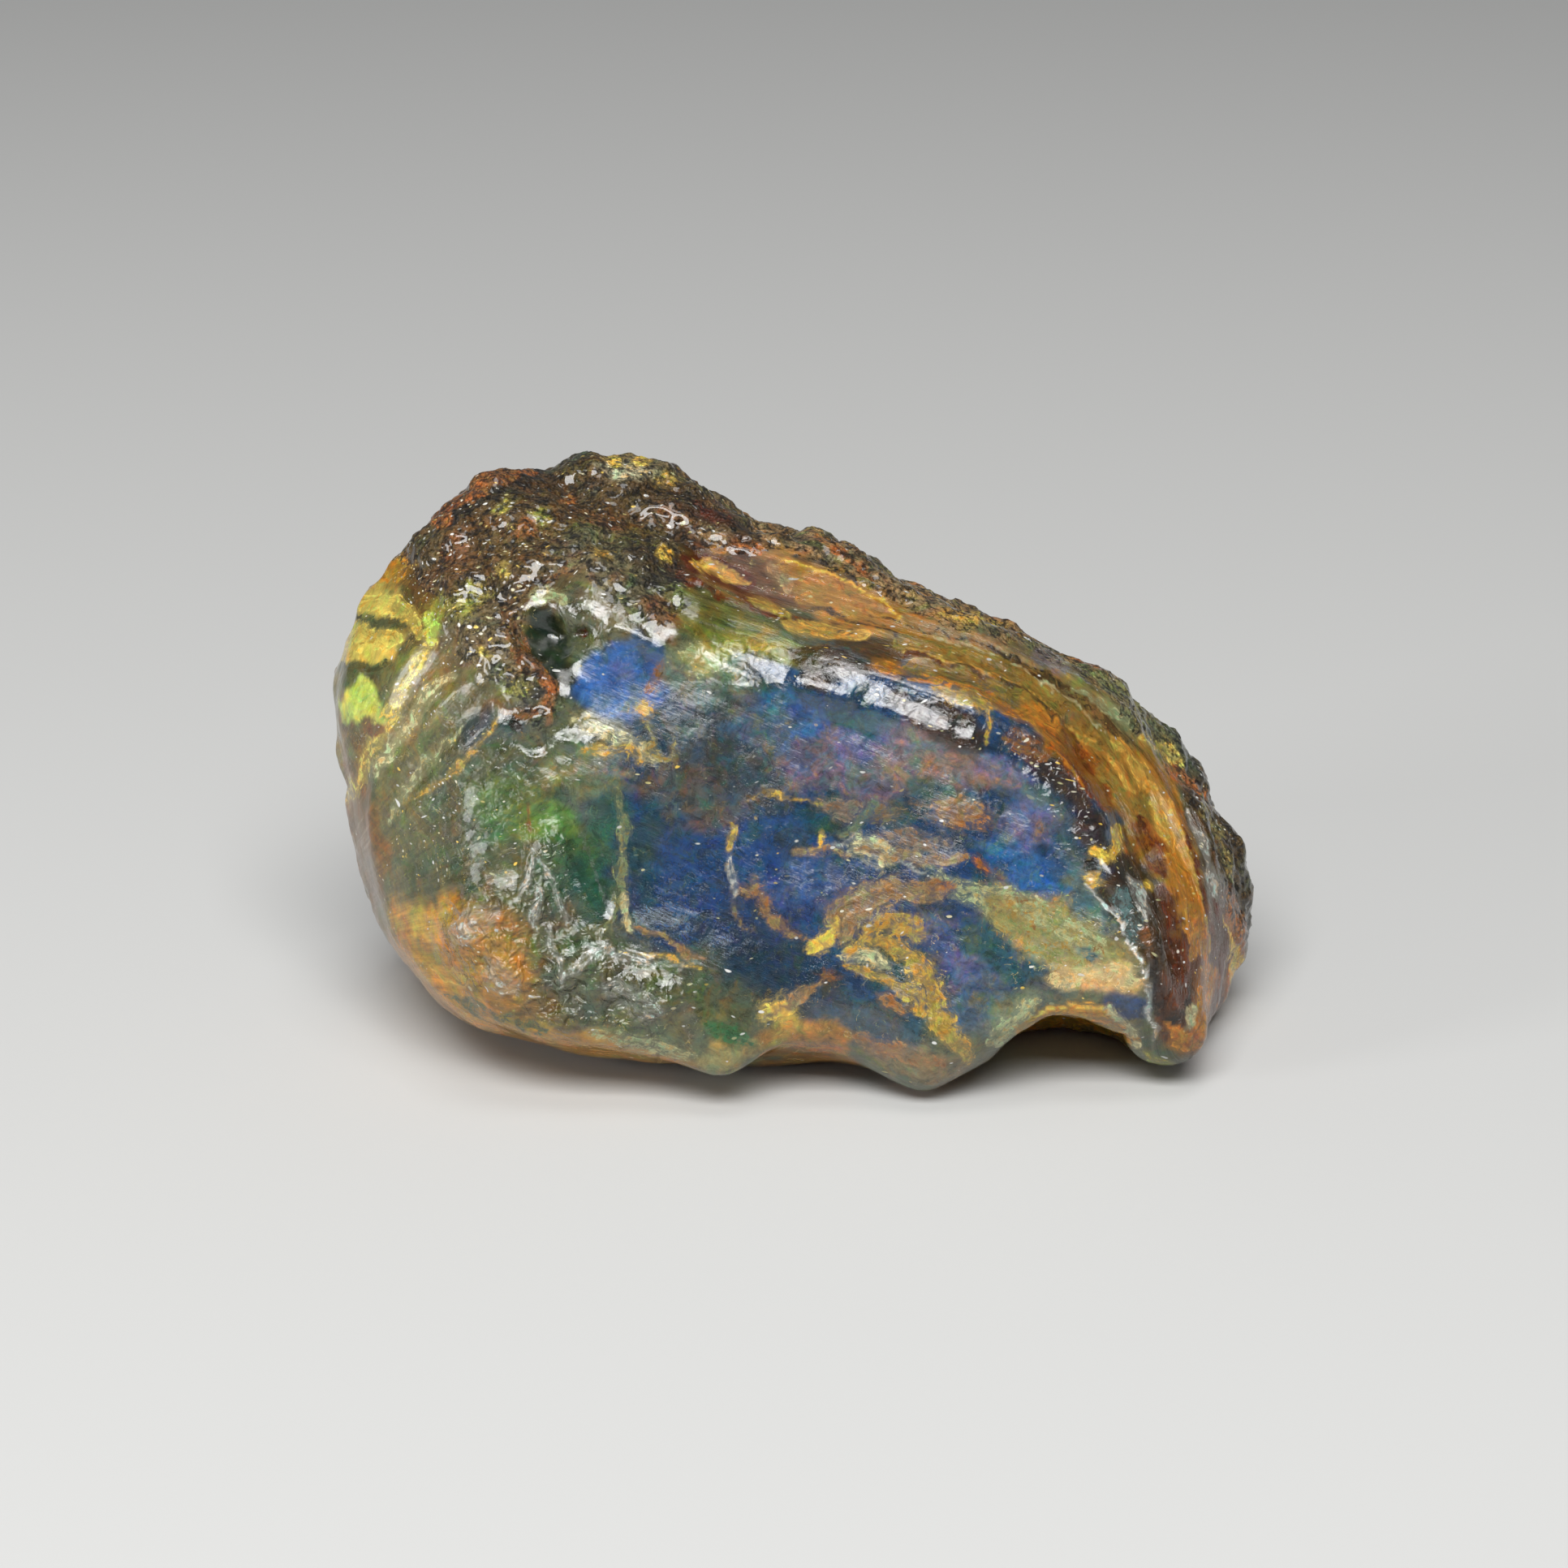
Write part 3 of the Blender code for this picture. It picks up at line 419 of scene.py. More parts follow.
        [(4.8, 5.0), (7.2, 4.5), (9.6, 3.7), (11.6, 2.3), (12.9, 0.9)],
        0.07, "flow_gold", 0.5,
    ),
    "flow_shadow_1": (
        [(3.4, 6.5), (6.4, 5.7), (9.0, 5.0), (11.4, 3.7), (13.2, 2.1)],
        0.14, "black_brown", 0.8,
    ),
    "flow_shadow_2": (
        [(5.4, 4.6), (7.6, 4.25), (9.6, 3.45), (11.4, 2.2), (12.6, 0.9)],
        0.12, "umber", 0.9,
    ),
    "flow_bright_1": (
        [(5.0, 5.35), (7.6, 4.75), (9.8, 3.95), (11.6, 2.7), (13.2, 1.0)],
        0.13, "flow_gold", 0.8,
    ),
    "flow_bright_2": ([(16.3, -1.6), (17.0, -3.6), (17.9, -6.0), (18.3, -8.6)], 0.14, "flow_gold", 0.6),
    "flow_shadow_3": ([(16.9, -2.6), (17.5, -4.6), (18.2, -7.0), (18.6, -9.0)], 0.16, "chestnut", 0.8),
    "flow_dark_edge": ([(8.6, 5.0), (10.8, 4.0), (12.8, 2.6), (14.6, 1.0)], 0.24, "umber", 0.8),
    "ochre_lobe": ([(5.0, 4.3), (7.0, 3.9), (9.0, 3.3), (10.4, 2.7)], 0.42, "flow_olive", 0.9),
    "ochre_lobe_rim": (
        [(5.0, 3.7), (6.4, 3.6), (7.6, 3.4), (9.0, 2.8), (10.6, 2.4)],
        0.18, "flow_orange", 0.9,
    ),
    "lobe_maroon": ([(4.8, 4.8), (5.8, 4.7), (6.6, 4.4)], 0.16, "maroon", 0.8),
    "shine_gold": ([(6.2, 3.2), (7.6, 2.9), (8.6, 2.4)], 0.3, "gold", 0.6),
    "gold_thread": ([(8.5, 2.8), (8.5, 1.0)], 0.09, "gold", 0.7),
    "orange_shade": ([(8.8, 2.6), (10.4, 2.2), (11.6, 1.8)], 0.36, "flow_orange", 0.6),
    "rust_grains": ([(9.6, 1.3), (10.2, 0.8), (10.9, 0.4)], 0.4, "rust", 0.15),
    "deep_orange": (
        [(11.7, 2.0), (12.1, 0.9), (12.5, -0.2), (13.1, -1.0), (13.7, -1.7)],
        0.5, "flow_deep", 0.9,
    ),
    "deep_orange_light": ([(12.0, 0.2), (12.6, -0.7), (13.2, -1.2)], 0.26, "flow_orange", 0.4),
    "golden_band": (
        [(14.0, 1.1), (14.9, 0.1), (15.7, -1.4), (16.2, -3.0), (16.7, -4.2)],
        0.26, "flow_gold", 0.9,
    ),
    "golden_band_2": ([(13.6, 0.4), (14.2, -0.4), (14.8, -1.3)], 0.2, "flow_gold", 0.7),
    "olive_body": ([(13.4, -0.4), (14.2, -1.4), (14.8, -2.4), (15.4, -1.2)], 0.34, "flow_olive", 0.7),
    "chestnut_hollow": ([(14.9, -2.4), (15.4, -3.4), (16.1, -4.7)], 0.5, "chestnut", 0.95),
    "golden_lobe": ([(14.1, -2.7), (14.2, -3.4), (13.6, -4.0), (13.0, -3.7)], 0.28, "gold_bright", 0.7),
    "strip_teal": ([(14.1, -5.4), (14.6, -6.6), (15.1, -7.8)], 0.4, "teal_grey", 0.15),
    "strip_silver": ([(14.7, -4.9), (15.2, -5.8), (15.5, -6.8)], 0.2, "silver", 0.1),
    # Painted shadow: a black spot for a hole, with no pit in the relief under it
    "hole_shadow": ([(13.1, -4.1), (12.9, -4.4)], 0.3, "black_brown", 0.9),
    "orange_band": ([(16.4, -3.6), (17.2, -5.4), (17.6, -7.0), (17.4, -8.4)], 0.4, "flow_orange", 0.8),
    "brown_band": ([(15.9, -5.4), (16.7, -6.9), (17.0, -8.8), (16.8, -10.4)], 0.4, "chestnut", 0.8),
    "rind_streak_1": ([(17.6, -1.0), (18.6, -3.2), (19.2, -5.6)], 0.12, "olive_gold", 0.3),
    "rind_streak_2": ([(17.2, -2.0), (18.2, -4.4), (18.7, -7.0)], 0.12, "silver", 0.15),
    "rind_streak_3": ([(18.9, -5.4), (19.4, -7.6), (19.2, -9.4)], 0.3, "rust_orange", 0.2),
    "far_orange": ([(1.2, 9.8), (2.2, 9.1), (3.2, 8.3)], 0.3, "rust_orange", 0.6),
    "far_grey": ([(2.4, 9.2), (3.4, 8.6)], 0.3, "rind_grey", 0.6),
    "far_dark": ([(-0.1, 9.2), (1.3, 8.9), (2.8, 7.7)], 0.16, "rind_dark", 0.8),
    "far_gold_1": ([(4.8, 6.4), (6.2, 5.9), (7.6, 5.4), (9.2, 5.1), (10.4, 4.4)], 0.4, "ochre", 0.45),
    "far_gold_2": ([(6.6, 6.6), (8.0, 6.2), (9.4, 5.7)], 0.3, "gold", 0.2),
    "far_rust": ([(8.6, 6.6), (10.4, 5.9), (12.2, 5.0), (13.4, 4.2)], 0.26, "rust_orange", 0.4),
    "far_pale": ([(12.2, 3.3), (13.4, 2.6), (14.6, 1.8)], 0.16, "olive_pale", 0.6),
    "far_yellow": ([(15.4, 1.2), (16.2, 0.7), (16.8, 0.2)], 0.26, "yellow_glow", 0.5),
    "far_red": ([(16.3, 0.1), (17.3, -0.7), (18.1, -1.6)], 0.26, "rust_orange", 0.4),
    "far_grey_1": ([(8.0, 6.0), (9.4, 5.7)], 0.3, "rind_grey", 0.5),
    "far_grey_2": ([(10.6, 4.8), (11.8, 4.2)], 0.4, "plum", 0.5),
    "crown_ochre": ([(-2.2, 11.0), (-1.4, 10.4), (-0.8, 9.6)], 0.2, "ochre", 0.6),
}

# Crisp ragged spots: seen place, half sizes, turn, colour, cover
SPOTS = {
    "brown_pane_1": ((2.1, -1.9), (0.9, 0.4), -10, "rose_brown", 0.5),
    "brown_pane_2": ((3.9, -2.2), (0.8, 0.45), 10, "brown", 0.5),
    "brown_pane_3": ((7.1, -2.1), (1.3, 0.5), -12, "orange_brown", 0.5),
    "brown_pane_4": ((5.2, -3.4), (1.3, 0.4), -6, "rose_brown", 0.3),
    "brown_pane_5": ((6.2, -5.3), (1.0, 0.3), 4, "orange_brown", 0.35),
    "knot": ((3.6, -3.7), (0.8, 0.45), -15, "gold_pale", 0.5),
    "knot_light": ((3.7, -3.6), (0.3, 0.2), 0, "white", 0.4),
    "leaf": ((1.25, -3.4), (0.14, 0.24), -20, "gold_bright", 0.8),
    "arc_blob_1": ((-1.9, -5.4), (0.45, 0.35), 0, "orange_brown", 0.6),
    "arc_blob_2": ((-1.3, -5.8), (0.4, 0.25), -20, "orange_brown", 0.4),
    "rust_fleck": ((8.2, -4.3), (0.4, 0.2), -20, "rust_orange", 0.4),
    "gold_spot_pool": ((-6.5, 2.4), (0.4, 0.25), 10, "gold", 0.4),
    "gold_flash": ((1.2, -7.8), (0.4, 0.3), 20, "gold_bright", 0.9),
    "base_gold": ((-0.7, -10.7), (0.6, 0.4), 20, "gold_bright", 0.4),
    "field_cyan": ((12.7, -8.3), (0.5, 0.3), 0, "teal_grey", 0.2),
    "rust_low": ((1.6, -9.2), (0.4, 0.25), 0, "rust", 0.3),
    "lobe_gold": ((4.2, -10.4), (0.6, 0.25), -20, "orange_brown", 0.2),
    "ochre_bar": ((-1.4, 5.15), (0.7, 0.16), -5, "gold", 0.7),
    "yellow_pane": ((-2.5, 5.0), (0.5, 0.35), 0, "yellow_green", 0.5),
    "olive_pane": ((-4.1, 4.6), (0.7, 0.5), -20, "olive_pale", 0.3),
    "flank_olive": ((-12.0, 3.2), (0.6, 0.45), 20, "yellow_green", 0.7),
    "dark_spot": ((-12.2, 1.8), (0.35, 0.3), 0, "black_brown", 0.7),
    "rust_dark": ((-14.7, 9.2), (0.6, 0.8), 0, "rust", 0.4),
    "rust_2": ((-11.7, 10.2), (0.5, 0.3), 30, "rust_orange", 0.3),
    "rust_3": ((-9.8, 11.5), (0.25, 0.2), 0, "rust_orange", 0.8),
    "rust_4": ((-8.0, 10.5), (0.7, 0.3), -20, "rust", 0.4),
    "rust_5": ((-5.3, 11.0), (0.9, 0.35), -30, "rust", 0.2),
    "rust_6": ((-3.4, 10.9), (0.8, 0.35), -20, "maroon", 0.4),
    "yellow_1": ((-12.6, 11.2), (0.45, 0.25), 20, "yellow_green", 0.4),
    "yellow_2": ((-10.9, 10.8), (0.35, 0.3), 0, "yellow_green", 0.5),
    "yellow_3": ((-12.6, 8.4), (0.3, 0.25), 0, "yellow_glow", 0.5),
    "yellow_4": ((-14.4, 6.8), (0.4, 0.6), -20, "yellow_green", 0.5),
    "yellow_5": ((-13.7, 7.5), (0.5, 0.4), 0, "yellow_green", 0.3),
    "yellow_6": ((-13.5, 4.7), (0.3, 0.2), 0, "yellow_glow", 0.4),
    "yellow_7": ((-15.4, 6.9), (0.5, 0.4), 0, "yellow_green", 0.4),
    "left_orange": ((-17.3, 8.4), (0.7, 0.5), 30, "edge_gold", 0.6),
    "left_rust": ((-18.2, 1.5), (0.4, 0.3), 0, "rust", 0.4),
    "crown_cream": ((-7.2, 12.8), (0.9, 0.35), -5, "cream", 0.2),
    "crown_gold_1": ((-7.8, 13.3), (0.35, 0.2), 0, "gold_bright", 0.4),
    "crown_gold_2": ((-6.6, 13.3), (0.3, 0.25), 0, "gold_bright", 0.3),
    "crown_gold_3": ((-5.5, 12.4), (0.5, 0.3), 0, "gold", 0.3),
    "rind_ochre_1": ((-3.5, 10.0), (0.8, 0.35), -10, "ochre", 0.5),
    "rind_ochre_2": ((-1.8, 9.4), (0.7, 0.3), -20, "rust_orange", 0.5),
    "rind_ochre_3": ((-3.2, 9.35), (0.5, 0.25), 0, "flow_amber", 0.5),
    "rind_ochre_4": ((-8.4, 9.2), (0.5, 0.2), -20, "gold", 0.2),
    "pinhole": ((-9.05, 5.7), (0.26, 0.26), 0, "maroon", 0.9),
    "bead_gold": ((4.3, 4.3), (0.7, 0.3), -10, "flow_orange", 0.7),
    "green_slit": ((15.3, -0.5), (0.12, 0.3), 30, "hollow_green", 0.9),
    "foot_gold_1": ((19.4, -8.5), (0.3, 0.5), 0, "gold_bright", 0.4),
    "foot_gold_2": ((17.2, -11.0), (0.35, 0.4), 0, "gold_pale", 0.3),
    "foot_orange_1": ((18.7, -9.6), (0.5, 0.5), 0, "rust_orange", 0.5),
    "foot_orange_2": ((17.4, -12.0), (0.6, 0.4), 0, "rust_orange", 0.5),
    "foot_maroon": ((18.2, -8.4), (0.5, 0.8), 0, "maroon", 0.7),
    "foot_edge": ((15.9, -12.9), (0.6, 0.25), -20, "yellow_green", 0.5),
    "strip_yellow": ((15.3, -5.3), (0.2, 0.2), 0, "gold_bright", 0.5),
    "strip_rust": ((15.3, -7.5), (0.3, 0.5), 15, "rust", 0.4),
    "crack_foot_gold": ((13.1, -4.9), (0.3, 0.4), 0, "gold", 0.6),
}

# Where tiny bright dots (mineral specks and painted glints), gold flecks and blue-green flakes crowd
# together:
# seen place, half sizes, turn, how many from 0 to 1
SPECKS_AND_GLINTS = {
    "all": ((0, 0), (30, 20), 0, 0.1),
    "left_rind": ((-14.0, 8.8), (3.2, 3.8), -38, 0.95),
    "left_rind_low": ((-14.2, 5.8), (1.6, 2.0), -30, 0.75),
    "crown": ((-6.5, 11.6), (4.5, 2.2), -10, 0.45),
    "lip": ((-11.9, 3.9), (1.7, 0.9), 20, 0.75),
    "middle": ((-7.6, 7.9), (2.6, 1.3), -25, 0.5),
    "flank": ((-14.6, -2.2), (3.0, 3.4), 0, 0.55),
    "bead_top": ((1.8, 4.8), (2.2, 0.5), -10, 0.6),
    "bead_black": ((7.6, 2.4), (0.9, 0.5), -20, 0.7),
    "bead_end": ((11.2, -0.3), (2.2, 0.9), -42, 0.75),
    "bead_low": ((12.8, -2.6), (0.7, 1.8), 14, 0.6),
    "strip": ((15.2, -6.4), (1.2, 3.2), 20, 0.6),
    "right_rind": ((18.4, -4.6), (0.9, 4.4), 12, 0.5),
    "toes": ((-8.4, -8.8), (2.6, 1.1), -10, 0.45),
    "toe_end": ((-5.6, -10.4), (2.0, 1.2), -10, 0.5),
    "toe_left": ((-13.4, -7.2), (1.6, 1.6), 0, 0.3),
    "window_right": ((10.5, -8.5), (3.0, 1.6), -20, 0.25),
    "flank_high": ((-16.0, 3.4), (2.0, 3.4), -28, 0.5),
    "window_middle": ((3.0, -2.6), (5.0, 3.0), -20, 0.16),
    "bead_crust": ((6.2, 1.9), (2.2, 0.7), -22, 0.4),
    "fall": ((16.6, -5.4), (1.5, 5.4), 12, 0.5),
    "flow_start": ((-2.0, 7.6), (3.2, 1.4), -26, 0.45),
    "flow": ((6.0, 5.6), (6.0, 1.6), -24, 0.25),
    "field": ((11.4, -7.4), (3.6, 1.8), -26, 0.3),
    "nets": ((4.4, -7.4), (2.6, 1.8), -20, 0.28),
}
FLECKS = {
    "all": ((0, 0), (30, 20), 0, 0.12),
    "left_rind": ((-13.0, 7.6), (3.2, 4.0), -30, 0.5),
    "left_flank": ((-16.6, 3.0), (2.4, 4.6), -24, 0.55),
    "flank_low": ((-14.6, -4.0), (4.0, 3.2), 0, 0.4),
    "toe": ((-12.0, -10.4), (5.0, 1.4), -20, 0.6),
    "low": ((-6.6, -11.4), (4.0, 1.2), -10, 0.5),
    "wisps": ((-7.0, 0.8), (2.2, 1.1), -20, 0.45),
    "field": ((11.4, -7.6), (4.4, 2.2), -26, 0.8),
    "nets": ((4.4, -7.6), (2.8, 2.0), -20, 0.6),
    "base": ((0.6, -11.6), (3.0, 1.8), 0, 0.6),
    "lobe": ((5.6, -11.8), (2.4, 1.8), 0, 0.35),
    "middle": ((6.0, -4.4), (4.0, 1.4), -4, 0.4),
    "crown": ((-5.0, 11.0), (5.0, 2.4), -10, 0.35),
    "far": ((8.0, 6.2), (8.0, 1.6), -24, 0.5),
    "right_rind": ((18.6, -5.0), (1.0, 5.0), 12, 0.4),
    "green_band": ((-3.0, 5.8), (3.6, 1.2), -20, 0.4),
}
FLAKES = {
    "window": ((3.0, -3.0), (12.5, 9.0), -8, 1.0),
    "left": ((-11.0, -4.0), (6.0, 6.0), 0, 0.6),
    "flank": ((-16.5, 0.0), (3.0, 8.0), 0, 0.35),
    "pool": ((-7.6, 3.7), (2.0, 1.6), 12, 0.35),
}

# Panes under the polish: shift of their noise in metres, and tints from low to high on it,
# where a third changes nothing
TINT_GAIN = 3.0
OPAL_PANES = {
    "pane_1": (0.05, [
        (0.38, (0.2, 0.32, 0.4)),
        (0.48, (0.2, 0.42, 0.34)),
        (0.54, (0.5, 0.36, 0.28)),
        (0.64, (0.62, 0.38, 0.2)),
    ]),
    "pane_2": (0.09, [
        (0.38, (0.7, 0.46, 0.2)),
        (0.47, (0.42, 0.28, 0.42)),
        (0.53, (0.17, 0.23, 0.28)),
        (0.62, (0.3, 0.42, 0.48)),
    ]),
}

# Where the polish is crinkled like foil: seen place, half sizes, turn, how strongly
CRINKLES = {
    "all": ((0, 0), (30, 20), 0, 0.05),
    "bead": ((5.0, 2.4), (6.5, 1.4), -20, 0.2),
    "bead_end": ((11.6, -1.2), (1.4, 2.6), 32, 0.5),
    "shine_boss": ((-8.4, 6.6), (3.0, 1.8), -30, 0.22),
    "panes": ((-2.8, 4.2), (2.2, 1.2), -20, 0.25),
    "lip": ((-10.8, 1.2), (2.4, 1.2), 0, 0.3),
    "flank": ((-14.4, -1.0), (2.8, 4.0), -20, 0.35),
    "toes": ((-9.4, -9.4), (4.6, 2.0), -16, 0.8),
    "toe_left": ((-13.4, -7.4), (2.0, 2.2), -20, 0.9),
    "crests": ((-10.8, -5.2), (1.0, 2.4), 0, 0.8),
    "lime": ((-10.6, -2.6), (1.2, 1.0), 0, 0.0),
    "foot": ((15.6, -9.0), (1.2, 3.0), 10, 0.5),
}

# Where the flow's polish is dull between its fine lines: seen place, half sizes, turn, how dull
DULLNESS = {
    "flow_start": ((0.6, 7.6), (5.0, 1.6), -26, 1.0),
    "flow_middle": ((6.5, 5.2), (4.0, 1.2), -24, 0.5),
    "flank": ((-16.5, 1.0), (3.0, 6.0), -20, 0.4),
}

# The rind's seen outline on the front
RIND_EDGE = 0.7
RIND_OUTLINE = [
    (-18.6, 12.0), (-16.9, 8.6), (-15.4, 7.2), (-14.6, 4.8), (-12.6, 3.4), (-11.4, 1.6), (-9.9, 2.4),
    (-10.9, 4.0), (-12.2, 5.6), (-11.4, 7.2), (-10.4, 8.2), (-9.0, 8.4), (-8.1, 7.1), (-7.0, 6.3),
    (-5.9, 5.8), (-4.6, 6.8), (-4.8, 8.4), (-5.2, 9.6), (-2.0, 9.3), (-0.6, 9.4), (1.0, 9.0),
    (3.4, 7.6), (6.4, 6.2), (9.4, 5.3), (12.4, 3.9), (14.8, 2.0), (16.6, -0.6), (17.8, -3.0),
    (18.8, -5.6), (19.8, -8.0), (21.0, -9.6), (24.0, -10.0), (24.0, 18.0), (-16.0, 18.0),
]

# Small relief pressed into the skin: seen path, half width, height
RIDGES = {
    "bead": (
        [(-0.4, 3.8), (1.4, 3.1), (3.2, 2.6), (5.4, 1.7),
         (7.4, 0.8), (9.2, -0.1), (10.9, -1.1), (12.1, -2.4)],
        0.7, 0.28,
    ),
    "under_bead": (
        [(0.6, 2.1), (2.8, 1.5), (4.8, 0.6), (6.8, -0.3), (8.6, -1.3), (10.4, -2.5)],
        0.5, -0.08,
    ),
    "over_bead": ([(0.0, 5.4), (2.4, 4.9), (4.4, 4.4), (6.0, 3.8)], 0.4, -0.12),
    "left_bead": ([(-8.0, 5.9), (-6.8, 5.6), (-5.8, 4.9), (-4.9, 4.1)], 0.4, 0.2),
    "crest_1": ([(-11.2, -3.9), (-11.5, -5.0), (-11.9, -5.8)], 0.2, 0.12),
    "crest_2": ([(-11.0, -5.0), (-11.1, -7.3)], 0.14, 0.1),
    "crest_3": ([(-10.9, -3.6), (-10.3, -5.4), (-10.1, -6.5), (-9.8, -7.1)], 0.22, 0.14),
    "crest_4": ([(-10.7, -7.0), (-10.4, -8.0), (-10.0, -9.6)], 0.16, 0.12),
    "web_1": ([(-9.8, -9.3), (-8.8, -8.4), (-8.1, -7.8)], 0.2, 0.13),
    "web_2": ([(-8.0, -8.0), (-7.2, -8.4), (-6.3, -8.6)], 0.18, 0.12),
    "web_3": ([(-9.2, -9.8), (-7.8, -9.2), (-6.6, -9.6)], 0.18, 0.1),
    "vein": ([(-7.6, -0.9), (-7.4, -3.0), (-7.5, -5.4), (-8.0, -7.2)], 0.22, 0.05),
    "crack": (
        [(12.8, -5.0), (13.3, -5.8), (14.0, -6.7), (14.6, -7.8), (15.2, -8.9), (15.5, -9.6)],
        0.16, 0.13,
    ),
    "arc_shine": ([(-12.2, 0.8), (-11.6, 0.3), (-11.0, 0.2), (-10.4, 0.8)], 0.2, 0.14),
    "flow_edge_1": ([(3.2, 5.9), (6.4, 5.1), (9.4, 4.3), (11.8, 2.9), (13.8, 0.6)], 0.14, 0.12),
    "flow_edge_2": ([(4.8, 4.7), (7.4, 4.3), (9.8, 3.4), (11.8, 1.9)], 0.12, 0.1),
    "flow_edge_3": ([(-4.8, 8.4), (-3.4, 7.4), (-1.4, 6.7), (0.8, 6.4)], 0.12, 0.12),
    "flow_edge_4": ([(-0.3, 8.8), (1.5, 8.2), (3.2, 7.2), (5.0, 6.2)], 0.14, 0.12),
    "flow_edge_5": ([(13.9, 1.1), (14.9, 0.0), (15.8, -1.6), (16.4, -3.6)], 0.16, 0.12),
    "flow_groove": ([(11.9, 2.1), (12.4, 0.6), (13.0, -0.8), (13.8, -1.9)], 0.3, -0.15),
    "lip_rim": ([(-10.8, 3.9), (-10.5, 3.3), (-10.7, 2.5), (-10.5, 1.8)], 0.2, 0.15),
}

# Lumps and hollows on the skin: seen place, half sizes, turn, height, steepness
LUMPS = {
    "hollow": ((-10.9, 5.4), (1.35, 1.25), 20, -0.14, 1.0),
    "hollow_mouth": ((-10.3, 4.2), (0.7, 0.8), 0, -0.1, 1),
    "pinhole": ((-9.05, 5.7), (0.28, 0.28), 0, -0.35, 2),
    "shine_boss": ((-9.1, 7.3), (1.2, 0.9), 30, 0.25, 1),
    "lip_boss_1": ((-11.5, 1.4), (0.7, 0.5), 10, 0.28, 1),
    "lip_boss_2": ((-9.9, 1.0), (0.7, 0.35), -10, 0.2, 1),
    "lip_hollow": ((-11.9, 2.4), (0.9, 0.35), 15, -0.2, 1),
    "toe_1": ((-14.1, -7.2), (1.2, 0.9), 30, 0.3, 1),
    "toe_2": ((-12.2, -6.2), (0.9, 0.7), 20, 0.22, 1),
    "toe_3": ((-12.6, -9.3), (0.9, 1.3), -30, 0.25, 1),
    "toe_4": ((-8.4, -9.0), (1.6, 0.8), -10, 0.22, 1),
    "toe_5": ((-6.0, -10.4), (1.2, 0.7), -15, 0.22, 1),
    "toe_gap": ((-10.9, -8.4), (0.5, 1.8), 10, -0.2, 1),
    "left_shoulder": ((-10.4, -0.7), (2.4, 2.0), 0, 0.4, 1),
    "fold_hollow": ((-6.2, -8.6), (2.2, 1.0), -12, -0.3, 1),
    "pool_brow": ((-8.0, 6.1), (2.4, 1.8), -10, 0.42, 1),
    "bead_notch_1": ((3.0, 2.8), (0.3, 0.8), -40, -0.08, 1),
    "bead_notch_2": ((7.1, 1.2), (0.3, 0.8), -10, -0.1, 1),
    "pane_1": ((-2.6, 4.0), (1.4, 0.4), -20, 0.16, 1),
    "pane_2": ((-2.2, 3.2), (0.9, 0.35), -10, 0.16, 1),
    "bead_boss": ((7.8, 1.0), (1.0, 0.7), -20, 0.2, 1),
    "strip_dent": ((15.0, -6.2), (0.5, 2.4), 22, -0.25, 1),
}

# The flow lines' own guide across the shoulder and down the right side
FLOW_GUIDE = [
    (-6.0, 9.6), (-3.2, 8.4), (0.0, 7.4), (3.6, 6.3), (6.8, 5.3), (9.6, 4.3), (12.1, 2.7), (14.1, 0.9),
    (15.7, -1.2), (16.7, -3.4), (17.6, -6.0), (17.9, -9.0), (17.4, -12.0),
]
FLOW_HALF = 2.4
FLOW_EDGE = 0.8

# The left flank, whose lines fan out from a root. It lies left of a leaning seen line.
FAN_ROOT = (-23.0, -8.5)
FAN_ARM = 8.0
FLANK_FROM = (-11.0, 2.0)
FLANK_SLOPE = 0.35
FLANK_EDGE = 2.0

# The window's own lines: their lean in degrees and how strongly they show
WINDOW_LEAN = -24.0
WINDOW_LINES = 0.25

# Where the front paint gives way to the back's: gain and offset on how much the skin faces the eye
FACING_GAIN = 3.5
FACING_OFFSET = 0.85
FACING_RAGGED = 0.7

# The back's rind: the height where it starts, and over what height it comes in
BACK_RIND_FROM = 2.0
BACK_RIND_FADE = 1.5

# Roughness of the stone itself: shift of the noise, length, octaves
ROUGHS = {
    "body": (0.0, 2.6, 2),
    "flow_grain": (0.0, 1.0, 3),
    "creases": (3.0, 1.3, 3),
    "crust": (5.0, 1.0, 3),
    "crust_grains": (8.0, 0.35, 2),
    "back_patches": (20.0, 4.0, 3),
    "back_small": (31.0, 1.3, 3),
    "back_ochre": (47.0, 2.2, 4),
    "back_amber": (61.0, 1.6, 4),
    "front_edge": (77.0, 2.4, 4),
}

# How edges wander, as two drifts each: shift of the noise, length, and how far
DRIFTS = {
    "rind": ((0.0, 1.1, 0.5), (9.0, 0.4, 0.25)),
    "loose": ((0.0, 1.7, 0.7), (4.0, 0.6, 0.35)),
    "tight": ((2.0, 1.1, 0.3), (6.0, 0.45, 0.16)),
}

# Heights of the small relief in millimetres
BODY_HEIGHT = 0.04
FLOW_GRAIN_HEIGHT = 0.08
FLOW_GRAIN_STRETCH = (0.25, 1.7)
FLANK_GRAIN_SHARE = 0.5
CREASE_HEIGHT = 0.2
CREASED_PLACE = ((-9.8, -9.6), (5.0, 2.0), -16)
CREASED_REACH = 1.4
CRUST_HEIGHT = 0.16
CRUST_GRAIN_HEIGHT = 0.07
RIDGE_END_GAIN = 6.0
RIDGE_END_LEAST = 0.2

# The rind's colours on the unseen sides: colour, roughness that places it, gain and offset
BACK_PATCHES = [
    ("rind_olive", "back_patches", 2.0, 0.3),
    ("rust", "back_small", 2.4, -0.2),
    ("rind_dark", "back_small", -2.4, -0.2),
    ("ochre", "back_ochre", 2.6, -0.6),
    ("flow_amber", "back_amber", 2.8, -0.9),
]
